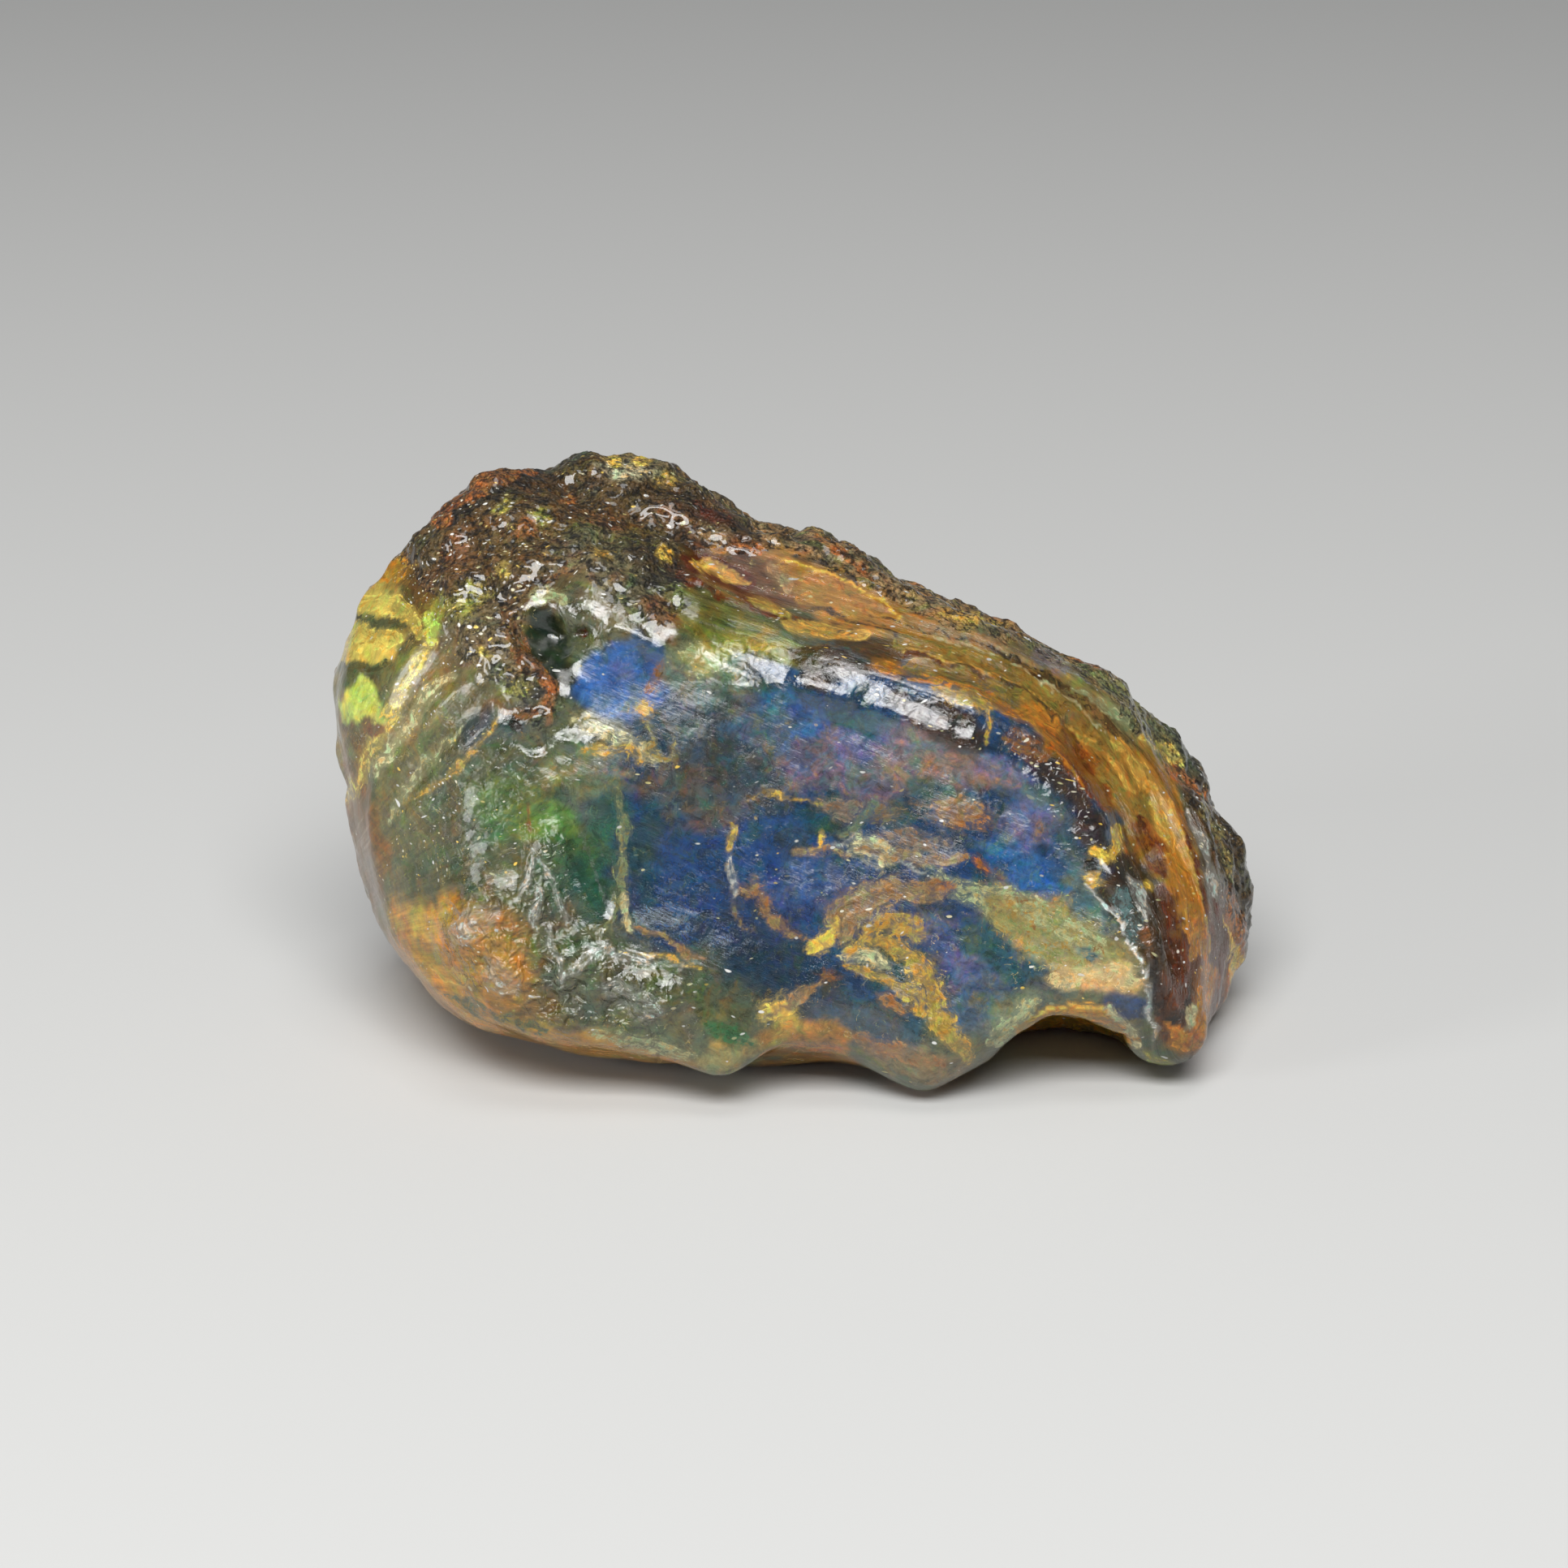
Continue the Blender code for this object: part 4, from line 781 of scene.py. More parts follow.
# How crowded the bright dots (mineral specks and painted glints) and the gold flecks are on the unseen
# sides
BACK_SPECKS_AND_GLINTS = 0.35
BACK_FLECKS = 0.45

# The golden amber under the back's rind: its tilt, its top and how they fade
UNDER_TILT = 0.2
UNDER_TILT_GAIN = 1.5
UNDER_TOP = 4.5
UNDER_FADE = 3.0
UNDER_MOTTLE = 0.6

# Each streak's own stretch of noise starts this far from the one before it
STREAK_GAP = 20.0

# Noises of the finishes: length in millimetres, detail, roughness, distortion
NOISES = {
    "swirl": (0.6, 6.0, 0.78, 0.8),
    "moods": (1.2, 5.0, 0.62, 0.9),
    "pane_1": (0.9, 6.0, 0.72, 0.8),
    "pane_1_hue": (1.8, 2.0, 0.5, 0.8),
    "pane_2": (0.5, 6.0, 0.72, 0.8),
    "pane_2_hue": (1.0, 2.0, 0.5, 0.8),
    "threads": (1.1, 5.0, 0.6, 1.4),
    "thread_gate": (0.5, 4.0, 0.7, 0.0),
    "thread_hue": (0.8, 2.0, 0.6, 0.0),
    "mark_tears": (0.45, 6.0, 0.72, 0.8),
    "mark_mood": (0.5, 4.0, 0.66, 0.5),
    "mark_body": (0.45, 5.0, 0.76, 0.6),
    "flecks": (0.34, 5.0, 0.7, 0.6),
    "fleck_hue": (1.1, 2.0, 0.6, 0.0),
    "grain_bend": (2.5, 1.0, 0.6, 0.0),
    "wear": (0.8, 4.0, 0.6, 0.0),
    "waves": (0.9, 2.0, 0.5, 0.0),
    "crinkles": (0.5, 1.5, 0.5, 0.6),
    "pits": (0.36, 5.0, 0.72, 0.0),
}

# Smooth steps of the finishes: from, to, what they give at the first and at the second
STEPS = {
    "warm_mood": (0.5, 0.68, 0.0, 1.0),
    "blue_mood": (0.5, 0.32, 0.0, 1.0),
    "green_mood": (0.52, 0.68, 0.0, 1.0),
    "pink_mood": (0.48, 0.32, 0.0, 1.0),
    "torn_pane": (0.49, 0.55, 0.0, 1.0),
    "thread": (0.012, 0.002, 0.0, 1.0),
    "thread_gate": (0.5, 0.6, 0.0, 1.0),
    "mark_mask": (0.02, 0.2, 0.0, 1.0),
    "mark_haze": (-0.8, 0.15, 0.0, 0.42),
    "mark_rim": (0.02, 0.1, 0.0, 1.0),
    "mark_core": (0.14, 0.34, 0.0, 1.0),
    "mark_warm": (0.5, 0.62, 0.0, 1.0),
    "mark_cool": (0.5, 0.38, 0.0, 1.0),
    "mark_body": (0.42, 0.56, 0.15, 0.95),
    "fleck": (0.0, 0.08, 0.0, 1.0),
    "grain_dot": (0.0, 0.14, 0.0, 1.0),
    "grain_kept": (0.0, 0.06, 0.0, 1.0),
    "coat_off_lines": (0.3, 0.9, 0.5, 0.0),
    "coat_seen_square": (0.3, 0.8, 1.0, 0.0),
    "wear": (0.35, 0.7, 0.03, 0.09),
    "dull_lines": (0.53, 0.62, 0.65, 0.08),
    "pebble_dome": (0.0, 0.7, 1.0, 0.0),
    "dark_pits": (0.4, 0.56, 0.16, 1.2),
    "pit_roughness": (0.3, 0.7, 0.6, 0.35),
}

# Drifting hues: channel of the mood noise, its step, and the tint that it brings
HUE_DRIFTS = [
    (0, "warm_mood", (1.5, 1.0, 0.5, 1.0)),
    (0, "blue_mood", (0.6, 0.98, 1.3, 1.0)),
    (1, "green_mood", (0.8, 1.3, 0.75, 1.0)),
    (1, "pink_mood", (1.15, 0.85, 1.15, 1.0)),
]
LEAST_LIGHT = 0.14

# Noise drawn out along lines: its stretch along, across and through, and its character
LINE_STRETCH = (0.5, 3.6, 1.0)
STRAND_STRETCH = (1.1, 5.0, 0.0)
STRAND_DISTORTION = 0.4
LINE_DETAIL = 5.0
LINE_ROUGHNESS = 0.76

# Colours of threads, flecks, and the bright dots of mineral specks and painted glints: place on the
# noise, and colour
THREAD_HUES = [
    (0.36, "olive_gold"), (0.44, "silver"), (0.5, "gold_bright"), (0.56, "cream"), (0.63, "lime_glow"),
]
FLECK_HUES = [
    (0.36, "rust"), (0.44, "flow_amber"), (0.5, "gold"), (0.56, "olive_gold"), (0.63, "yellow_green"),
]
SPECK_AND_GLINT_HUES = [
    (0.0, "silver"), (0.4, "white"), (0.62, "cream"), (0.8, "olive_pale"), (1.0, "gold_bright"),
]

# The crisp marks: contrast of their strands, light on their rims, and their warm and cool tints
STRAND_CONTRAST = 4.4
TONE_CONTRAST = 1.6
RIM_LIGHT = 0.6
MARK_WARM = (1.1, 0.78, 0.5, 1.0)
MARK_COOL = (0.78, 1.12, 1.05, 1.0)
LESS_RAGGED_ON_LINES = -0.7

# Bright dots of mineral specks and painted glints, in millimetres where they are lengths, and gold
# flecks
GRAIN_SIZE = 0.2
GRAIN_LEAN = 55.0
GRAIN_SQUEEZE = (0.5, 1.0, 1.0)
GRAIN_BEND = (2.0 * MM,) * 3
GRAIN_REACH_SPREAD = 0.3
GRAIN_REACH_LEAST = 0.1
FLECK_FLOOR = 0.8
FLECK_FLOOR_DROP = -0.3
FLECK_COVER = 0.8

# How strongly each finish takes up each effect
DRESSING = {
    "clear_amber": {
        "swirl": 4.1, "drifting": 0.7, "opal": 0.66, "raggedness": 3.6, "specks_and_glints": 0.8, "flecks": 1.0,
    },
    "weathered_rind": {
        "swirl": 3.6, "drifting": 0.7, "opal": 0.0, "raggedness": 3.0, "specks_and_glints": 1.0, "flecks": 1.2,
    },
}

# The amber itself
AMBER_IOR = 1.54
SEE_THROUGH = 0.25
POLISH_ROUGHNESS = 0.03
AMBER_INSIDE = (0.94, 0.62, 0.15, 1.0)
AMBER_DENSITY = 1000.0

# The rind's shine
RIND_SPECULAR = 0.3
RIND_COAT = 0.8
RIND_COAT_ROUGHNESS = 0.05
PEBBLE_SIZE = 0.22

# Depths of the finest relief in millimetres
WAVE_DEPTH = 0.05
FOIL_DEPTH = 0.5
LINE_DEPTH = 0.12
PIT_DEPTH = 0.12
PEBBLE_DEPTH = 0.12
RIND_LINE_DEPTH = 0.1

# Soft lights: azimuth, elevation, distance in metres, width and height in metres, watts
LIGHTS = {
    "key": (-4.0, 52.0, 0.42, (0.34, 0.17), 2.6),
    "left_low": (-62.0, 14.0, 0.4, (0.1, 0.14), 0.5),
    "overhead": (30.0, 84.0, 0.6, (0.2, 0.2), 0.7),
}
SKY_COLOUR = (0.95, 0.97, 1.0, 1.0)
SKY_STRENGTH = 0.11
FLOOR_HALF = 1.5
FLOOR_COLOUR = (0.5, 0.5, 0.49, 1.0)
FLOOR_ROUGHNESS = 0.75

# Fixes the drifting noise, which else starts from the clock
NOISE_SEED = 1
noise.seed_set(NOISE_SEED)


def direction(azimuth, elevation):
    """Unit vector: azimuth 0 is the front, 90 the right; elevation is above the horizon."""
    a, e = math.radians(azimuth), math.radians(elevation)
    return np.array((math.sin(a) * math.cos(e), -math.cos(a) * math.cos(e), math.sin(e)))


TO_EYE = direction(0, EYE_ELEVATION)
SIGHT_RIGHT = np.array((1.0, 0.0, 0.0))
SIGHT_UP = np.cross(SIGHT_RIGHT, -TO_EYE)
EYE = np.array(SIGHT) + TO_EYE * EYE_DISTANCE


def smooth_step(value):
    value = np.clip(value, 0.0, 1.0)
    return value * value * (3.0 - 2.0 * value)


def soft_edge(inside, width):
    """0 well outside an edge and 1 well inside it, with a smooth step of this width between."""
    return smooth_step(inside / width + 0.5)


def linear(name):
    """A named colour as the renderer counts it."""
    share = np.array(COLOURS[name]) / 255.0
    return np.where(share <= 0.04045, share / 12.92, ((share + 0.055) / 1.055) ** 2.4)


def seen(points):
    """Where the eye sees these points, in millimetres right of and above the sight point."""
    offset = points - EYE
    nearness = EYE_DISTANCE / -(offset @ TO_EYE)
    return np.stack((offset @ SIGHT_RIGHT * nearness, offset @ SIGHT_UP * nearness), 1)


def rough(points, name):
    """The roughness of this name at these points, from about -1 to 1."""
    shift, length, octaves = ROUGHS[name]
    return np.array([noise.fractal(Vector(p), 0.9, 2.0, octaves) for p in (points + shift) / length])


def wandered(places, points, name):
    """The seen places, shifted by the two drifts of this name."""
    for shift, length, reach in DRIFTS[name]:
        drift = np.array([noise.noise_vector(Vector(p))[:2] for p in (points + shift) / length])
        places = places + reach * drift
    return places


# Shapes on the seen plane

def curved(path, rounds=2):
    """The path with its corners cut, so that it bends smoothly."""
    path = np.array(path, float)
    for _ in range(rounds):
        near = path[:-1] * 0.75 + path[1:] * 0.25
        far = path[:-1] * 0.25 + path[1:] * 0.75
        path = np.concatenate((path[:1], np.stack((near, far), 1).reshape(-1, 2), path[-1:]))
    return path


def path_length(path):
    return np.linalg.norm(np.diff(path, axis=0), axis=1).sum()


def along_path(places, path):
    """Distance to the path, how far along it (0 to 1), and which side (-1 or 1)."""
    path = curved(path)
    nearest = np.full(len(places), FAR_AWAY)
    along = np.zeros(len(places))
    side = np.ones(len(places))
    for k, (start, end) in enumerate(zip(path[:-1], path[1:])):
        span = end - start
        offset = places - start
        share = np.clip(offset @ span / max(span @ span, TINY), 0.0, 1.0)
        distance = np.linalg.norm(offset - share[:, None] * span, axis=1)
        closer = distance < nearest
        nearest[closer] = distance[closer]
        along[closer] = (k + share[closer]) / (len(path) - 1)
        turn = span[0] * offset[:, 1] - span[1] * offset[:, 0]
        side[closer] = np.where(turn[closer] < 0.0, -1.0, 1.0)
    return nearest, along, side


def within(places, place, half_sizes, turn):
    """0 in the middle of a turned ellipse, 1 on its edge, and more outside."""
    t = math.radians(turn)
    u, v = places[:, 0] - place[0], places[:, 1] - place[1]
    across = (u * math.cos(t) + v * math.sin(t)) / half_sizes[0]
    up = (v * math.cos(t) - u * math.sin(t)) / half_sizes[1]
    return np.hypot(across, up)


def inside_outline(places, outline, edge):
    """1 inside the seen outline, 0 outside, with a soft edge."""
    outline = np.array(outline, float)
    inside = np.zeros(len(places), bool)
    nearest = np.full(len(places), FAR_AWAY)
    for start, end in zip(outline, np.roll(outline, -1, axis=0)):
        span = end - start
        share = np.clip((places - start) @ span / (span @ span), 0.0, 1.0)
        distance = np.linalg.norm(places - start - share[:, None] * span, axis=1)
        nearest = np.minimum(nearest, distance)
        crosses = (start[1] > places[:, 1]) != (end[1] > places[:, 1])
        rise = np.where(end[1] == start[1], TINY, end[1] - start[1])
        inside ^= crosses & (places[:, 0] < start[0] + (places[:, 1] - start[1]) * span[0] / rise)
    return soft_edge(np.where(inside, nearest, -nearest), edge)


# The skin

def linked(name, data):
    """A new object in the scene for this mesh, light or camera."""
    thing = bpy.data.objects.new(name, data)
    bpy.context.scene.collection.objects.link(thing)
    return thing


def taken(stone):
    """The object's mesh with its modifiers applied; the object itself goes."""
    graph = bpy.context.evaluated_depsgraph_get()
    mesh = bpy.data.meshes.new_from_object(stone.evaluated_get(graph))
    bpy.data.objects.remove(stone)
    return mesh


def read_mesh(mesh):
    """The mesh's points and its normals there."""
    points = np.empty(len(mesh.vertices) * 3, np.float32)
    mesh.vertices.foreach_get("co", points)
    normals = np.empty(len(mesh.vertices) * 3, np.float32)
    mesh.vertex_normals.foreach_get("vector", normals)
    return points.reshape(-1, 3).astype(float), normals.reshape(-1, 3).astype(float)


def read_corners(mesh):
    """The number of the point at each corner of each face."""
    corners = np.empty(len(mesh.loops), np.int32)
    mesh.loops.foreach_get("vertex_index", corners)
    return corners


def fine_skin():
    """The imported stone's skin, laid again as an even fine mesh, in millimetres."""
    bm = bmesh.new()
    bm.from_mesh(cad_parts[NODE].data)
    bmesh.ops.remove_doubles(bm, verts=bm.verts[:], dist=SAME_POINT)
    bmesh.ops.scale(bm, vec=(1.0 / MM,) * 3, verts=bm.verts[:])
    mesh = bpy.data.meshes.new("polished_nugget")
    bm.to_mesh(mesh)
    bm.free()
    stone = linked("coarse_nugget", mesh)
    rounding = stone.modifiers.new("rounding", "SUBSURF")
    rounding.levels = 1
    rounding.render_levels = 1
    skin = stone.modifiers.new("skin", "REMESH")
    skin.mode = "VOXEL"
    skin.voxel_size = SKIN_GRID
    even = stone.modifiers.new("even", "SMOOTH")
    even.factor = SKIN_EVENING
    even.iterations = SKIN_EVEN_ROUNDS
    fine = taken(stone)
    _, normals = read_mesh(fine)
    stone = linked("fine_nugget", fine)
    hidden = stone.vertex_groups.new(name="hidden")
    hidden.add(np.where(normals @ TO_EYE < HIDDEN_FROM)[0].tolist(), 1.0, "REPLACE")
    fewer = stone.modifiers.new("fewer_faces", "DECIMATE")
    fewer.vertex_group = "hidden"
    fewer.ratio = HIDDEN_SHARE
    fine = taken(stone)
    fine.materials.clear()
    return fine


def rind_share(places, points, facing):
    """1 where the stone keeps its rind: inside the outline in front, and over the back."""
    front = inside_outline(wandered(places, points, "rind"), RIND_OUTLINE, RIND_EDGE)
    back = smooth_step((points[:, 2] - BACK_RIND_FROM) / BACK_RIND_FADE)
    return front * facing + back * (1.0 - facing)


def grain_lines(places):
    """Coordinates along and across the stone's own lines, and how strongly they show."""
    lean = math.radians(WINDOW_LEAN)
    along = places[:, 0] * math.cos(lean) + places[:, 1] * math.sin(lean)
    across = places[:, 1] * math.cos(lean) - places[:, 0] * math.sin(lean)
    from_root = places - np.array(FAN_ROOT)
    reach = np.hypot(from_root[:, 0], from_root[:, 1])
    angle = np.arctan2(from_root[:, 1], from_root[:, 0])
    flank_u, flank_v = FLANK_FROM
    flank = soft_edge(flank_u - places[:, 0] - FLANK_SLOPE * (places[:, 1] - flank_v), FLANK_EDGE)
    on_flank = flank > 0.5
    along[on_flank] = reach[on_flank]
    across[on_flank] = angle[on_flank] * FAN_ARM
    distance, share, side = along_path(places, FLOW_GUIDE)
    flow = soft_edge(FLOW_HALF - distance, FLOW_EDGE)
    on_flow = flow > 0.5
    along[on_flow] = share[on_flow] * path_length(curved(FLOW_GUIDE))
    across[on_flow] = (distance * side)[on_flow]
    show = np.full(len(places), WINDOW_LINES)
    show = np.maximum(show, np.abs(flank - 0.5) * on_flank)
    show = np.where(on_flow, np.abs(flow - 0.5) * 2.0, show * (1.0 - flow))
    return along, across, show, flank, flow


def pressed(points, normals, places, facing, rind, lines):
    """The small relief: ridges, grain, striations, crinkles and the rind's crust."""
    along, across, _, flank, flow = lines
    rise = BODY_HEIGHT * rough(points, "body")
    for path, width, height in RIDGES.values():
        distance, share, _ = along_path(places, path)
        ends = smooth_step(np.minimum(share, 1.0 - share) * RIDGE_END_GAIN + RIDGE_END_LEAST)
        rise += facing * ends * height * np.exp(-((distance / width) ** 2))
    for place, half_sizes, turn, height, steepness in LUMPS.values():
        reach = within(places, place, half_sizes, turn) ** 2
        rise += facing * height * np.exp(-reach ** steepness)
    stretch_along, stretch_across = FLOW_GRAIN_STRETCH
    grain = np.stack((along * stretch_along, across * stretch_across, np.zeros(len(points))), 1)
    grained = np.maximum(flank * FLANK_GRAIN_SHARE, flow)
    rise += facing * grained * FLOW_GRAIN_HEIGHT * rough(grain, "flow_grain")
    toes = smooth_step(CREASED_REACH - within(places, *CREASED_PLACE))
    creases = 1.0 - 2.0 * np.abs(rough(points, "creases"))
    rise += facing * toes * CREASE_HEIGHT * creases
    crust = CRUST_HEIGHT * rough(points, "crust")
    rise += rind * (crust + CRUST_GRAIN_HEIGHT * rough(points, "crust_grains"))
    lifted = points + normals * rise[:, None]
    lifted[:, 2] = np.maximum(lifted[:, 2], 0.0)
    return lifted


# The paint

def laid_grounds(places):
    """The soft grounds of colour at these seen places."""
    colour = np.zeros((len(places), 3))
    for place, half_sizes, turn, name, strength, softness in GROUND.values():
        inside = 1.0 - within(places, place, half_sizes, turn)
        share = (strength * soft_edge(inside, softness * EDGE_WIDTH))[:, None]
        colour += (linear(name) - colour) * share
    return colour


def laid_marks(places):
    """The crisp marks: colour, how far inside its mark each place is (-1 to 1), and along and across."""
    colour = np.zeros((len(places), 3)) + linear("gold")
    field = np.full(len(places), -1.0)
    strand = np.zeros((len(places), 2))
    for k, (path, width, name, cover) in enumerate(STREAKS.values()):
        low, high = np.min(path, 0) - 2.0 * width, np.max(path, 0) + 2.0 * width
        near = np.where(np.all((places > low) & (places < high), axis=1))[0]
        distance, share, side = along_path(places[near], path)
        taper = 0.5 + 0.5 * np.sin(np.pi * np.clip(share, 0.0, 1.0))
        inside = np.minimum(1.0 - distance / (width * taper), cover)
        closer = inside > field[near]
        take = near[closer]
        field[take] = inside[closer]
        colour[take] = linear(name)
        follows = np.column_stack((share * path_length(path) + STREAK_GAP * k, distance * side))
        strand[take] = follows[closer]
    for place, half_sizes, turn, name, cover in SPOTS.values():
        inside = np.minimum(1.0 - within(places, place, half_sizes, turn), cover)
        take = inside > field
        cosine, sine = math.cos(math.radians(turn)), math.sin(math.radians(turn))
        field[take] = inside[take]
        colour[take] = linear(name)
        strand[take] = (places[take] - np.array(place)) @ np.array(((cosine, -sine), (sine, cosine)))
    return colour, field, strand


def crowding(places, table):
    """How much of a thing there is at each place, from its table of crowds."""
    most = np.zeros(len(places))
    for place, half_sizes, turn, amount in table.values():
        inside = 1.0 - within(places, place, half_sizes, turn)
        most = np.maximum(most, amount * soft_edge(inside, CROWD_EDGE))
    return most


def back_paint(points, normals):
    """The rind's colours on the sides that the eye in front doesn't see."""
    roughness = {name: rough(points, name) for name in dict.fromkeys(row[1] for row in BACK_PATCHES)}
    colour = np.zeros((len(points), 3)) + linear("rind_brown")
    for name, placed_by, gain, offset in BACK_PATCHES:
        share = smooth_step(roughness[placed_by] * gain + offset)
        colour += (linear(name) - colour) * share[:, None]
    turned_down = smooth_step((UNDER_TILT - normals[:, 2]) * UNDER_TILT_GAIN)
    under = turned_down * smooth_step((UNDER_TOP - points[:, 2]) / UNDER_FADE)
    glow = linear("edge_gold") * (1.0 + UNDER_MOTTLE * roughness["back_small"])[:, None]
    return colour + (glow - colour) * under[:, None]


def put_colours(mesh, name, columns):
    """Writes four values for each point as a colour attribute."""
    attribute = mesh.attributes.new(name, "FLOAT_COLOR", "POINT")
    attribute.data.foreach_set("color", np.column_stack(columns).astype(np.float32).ravel())


def painted(mesh, points, normals, places, facing, rind, lines):
    """Writes the paint, the marks and the crowding as the skin's own attributes."""
    along, across, show, _, _ = lines
    loose = wandered(places, points, "loose")
    tight = wandered(places, points, "tight")
    front = facing[:, None]
    gain = (AMBER_GAIN + (RIND_GAIN - AMBER_GAIN) * rind)[:, None]
    ground = laid_grounds(loose) * front + back_paint(points, normals) * (1.0 - front)
    ground = np.clip(ground * gain, 0.0, MOST_PAINT)
    mark, field, strand = laid_marks(tight)
    mark = np.clip(mark * gain, 0.0, MOST_PAINT)
    field = field * facing - (1.0 - facing)
    # How crowded the bright dots are: mineral specks and painted glints
    specks_and_glints = crowding(loose, SPECKS_AND_GLINTS) * facing + BACK_SPECKS_AND_GLINTS * (1.0 - facing)
    flecks = crowding(loose, FLECKS) * facing + BACK_FLECKS * (1.0 - facing)
    flakes = crowding(loose, FLAKES) * facing * (1.0 - rind)
    crinkled = crowding(loose, CRINKLES) * facing
    dulled = crowding(loose, DULLNESS) * facing
    put_colours(mesh, "ground", (ground, show * facing))
    put_colours(mesh, "mark", (mark, field * 0.5 + 0.5))
    put_colours(mesh, "strand", (strand, crinkled, dulled))
    put_colours(mesh, "crowd", (specks_and_glints, flecks, flakes, rind))
    layer = mesh.uv_layers.new(name="grain")
    spread = np.column_stack((along, across))[read_corners(mesh)]
    layer.data.foreach_set("uv", spread.astype(np.float32).ravel())


def polished_nugget():
    """The whole stone: its fine skin, relief and paint, with each face's finish chosen."""
    mesh = fine_skin()
    points, normals = read_mesh(mesh)
    places = seen(points)
    ragged = FACING_RAGGED * rough(points, "front_edge")
    facing = smooth_step(normals @ TO_EYE * FACING_GAIN + FACING_OFFSET + ragged)
    rind = rind_share(places, points, facing)
    lines = grain_lines(places)
    lifted = pressed(points, normals, places, facing, rind, lines)
    painted(mesh, points, normals, places, facing, rind, lines)
    mesh.vertices.foreach_set("co", (lifted * MM).astype(np.float32).ravel())
    corners = read_corners(mesh)
    starts = np.empty(len(mesh.polygons), np.int32)
    mesh.polygons.foreach_get("loop_start", starts)
    face_sizes = np.diff(np.append(starts, len(corners)))
    mostly_rind = np.add.reduceat(rind[corners], starts) / face_sizes > 0.5
    mesh.polygons.foreach_set("material_index", mostly_rind.astype(np.int32))
    mesh.update()
    mesh.shade_smooth()
    return linked("polished_nugget", mesh)


# Finishes: small helpers for wiring nodes

def wire(tree, kind, inputs=None, **settings):
    """A new node with its settings, its inputs linked to sockets or set to plain values."""
    node = tree.nodes.new(kind)
    for name, value in settings.items():
        setattr(node, name, value)
    for name, value in (inputs or {}).items():
        if isinstance(value, bpy.types.NodeSocket):
            tree.links.new(value, node.inputs[name])
        else:
            node.inputs[name].default_value = value
    return node


def sums(tree, operation, first, second=0.0, clamped=False):
    """One step of arithmetic."""
    inputs = {0: first, 1: second}
    return wire(tree, "ShaderNodeMath", inputs, operation=operation, use_clamp=clamped).outputs[0]


def times_plus(tree, value, factor, added):
    """The value times the factor, plus what is added."""
    inputs = {0: value, 1: factor, 2: added}
    return wire(tree, "ShaderNodeMath", inputs, operation="MULTIPLY_ADD").outputs[0]


def place_sums(tree, operation, first, second):
    """One step of arithmetic on all three parts of a place."""
    return wire(tree, "ShaderNodeVectorMath", {0: first, 1: second}, operation=operation).outputs[0]


def ramp(tree, value, name):
    """The smooth step of this name in STEPS."""
    low, high, out_low, out_high = STEPS[name]
    inputs = {"Value": value, "From Min": low, "From Max": high, "To Min": out_low, "To Max": out_high}
    return wire(tree, "ShaderNodeMapRange", inputs, interpolation_type="SMOOTHSTEP").outputs[0]


def mixed(tree, share, first, second, way="MIX"):
    """The first colour with this share of the second laid over it."""
    inputs = {0: share, 6: first, 7: second}
    return wire(tree, "ShaderNodeMix", inputs, data_type="RGBA", blend_type=way).outputs[2]


def brightened(tree, colour, gain):
    """The colour times the gain."""
    inputs = {0: colour, "Scale": gain}
    return wire(tree, "ShaderNodeVectorMath", inputs, operation="SCALE").outputs[0]


def around_one(tree, value, strength):
    """The value stretched about one by the strength, and never near black."""
    centred = sums(tree, "SUBTRACT", value, 0.5)
    return sums(tree, "MAXIMUM", times_plus(tree, centred, strength, 1.0), LEAST_LIGHT)


def grainy(tree, place, name):
    """The outputs of the noise of this name in NOISES: value and colour."""
    length, detail, roughness, distortion = NOISES[name]
    inputs = {
        "Vector": place,
        "Scale": 1.0 / (length * MM),
        "Detail": detail,
        "Roughness": roughness,
        "Distortion": distortion,
    }
    return wire(tree, "ShaderNodeTexNoise", inputs).outputs


def drawn_out(tree, lines, stretch, distortion=0.0):
    """Noise that is drawn out along lines, from coordinates along and across them."""
    inputs = {
        "Vector": place_sums(tree, "MULTIPLY", lines, stretch),
        "Scale": 1.0,
        "Detail": LINE_DETAIL,
        "Roughness": LINE_ROUGHNESS,
        "Distortion": distortion,
    }
    return wire(tree, "ShaderNodeTexNoise", inputs).outputs[0]


def attribute(tree, name):
    """The outputs of one of the skin's own attributes."""
    return wire(tree, "ShaderNodeAttribute", attribute_name=name).outputs


def channels(tree, colour):
    """The red, green and blue of a colour, each as a value."""
    return wire(tree, "ShaderNodeSeparateColor", {"Color": colour}).outputs


def object_place(tree):
    return wire(tree, "ShaderNodeTexCoord").outputs["Object"]


def set_stops(hues, stops):
    """Gives a colour ramp its stops: the place and the colour of each, from low to high."""
    elements = hues.color_ramp.elements
    while len(elements) < len(stops):
        elements.new(1.0)
    for element, (at, colour) in zip(elements, stops):
        element.position = at
        element.color = (*colour, 1.0)


def hue_stops(tree, value, stops):
    """A colour ramp through these stops."""
    hues = wire(tree, "ShaderNodeValToRGB", {"Fac": value})
    set_stops(hues, stops)
    return hues.outputs[0]


def named_hues(tree, value, stops):
    """A colour ramp through named colours, given as the place and name of each."""
    return hue_stops(tree, value, [(at, linear(name)) for at, name in stops])


def bump(tree, height, depth, normal=None):
    """Turns a height from 0 to 1 into a normal, for relief this deep in millimetres."""
    inputs = {"Height": height, "Distance": depth * MM}
    if normal is not None:
        inputs["Normal"] = normal
    return wire(tree, "ShaderNodeBump", inputs).outputs[0]


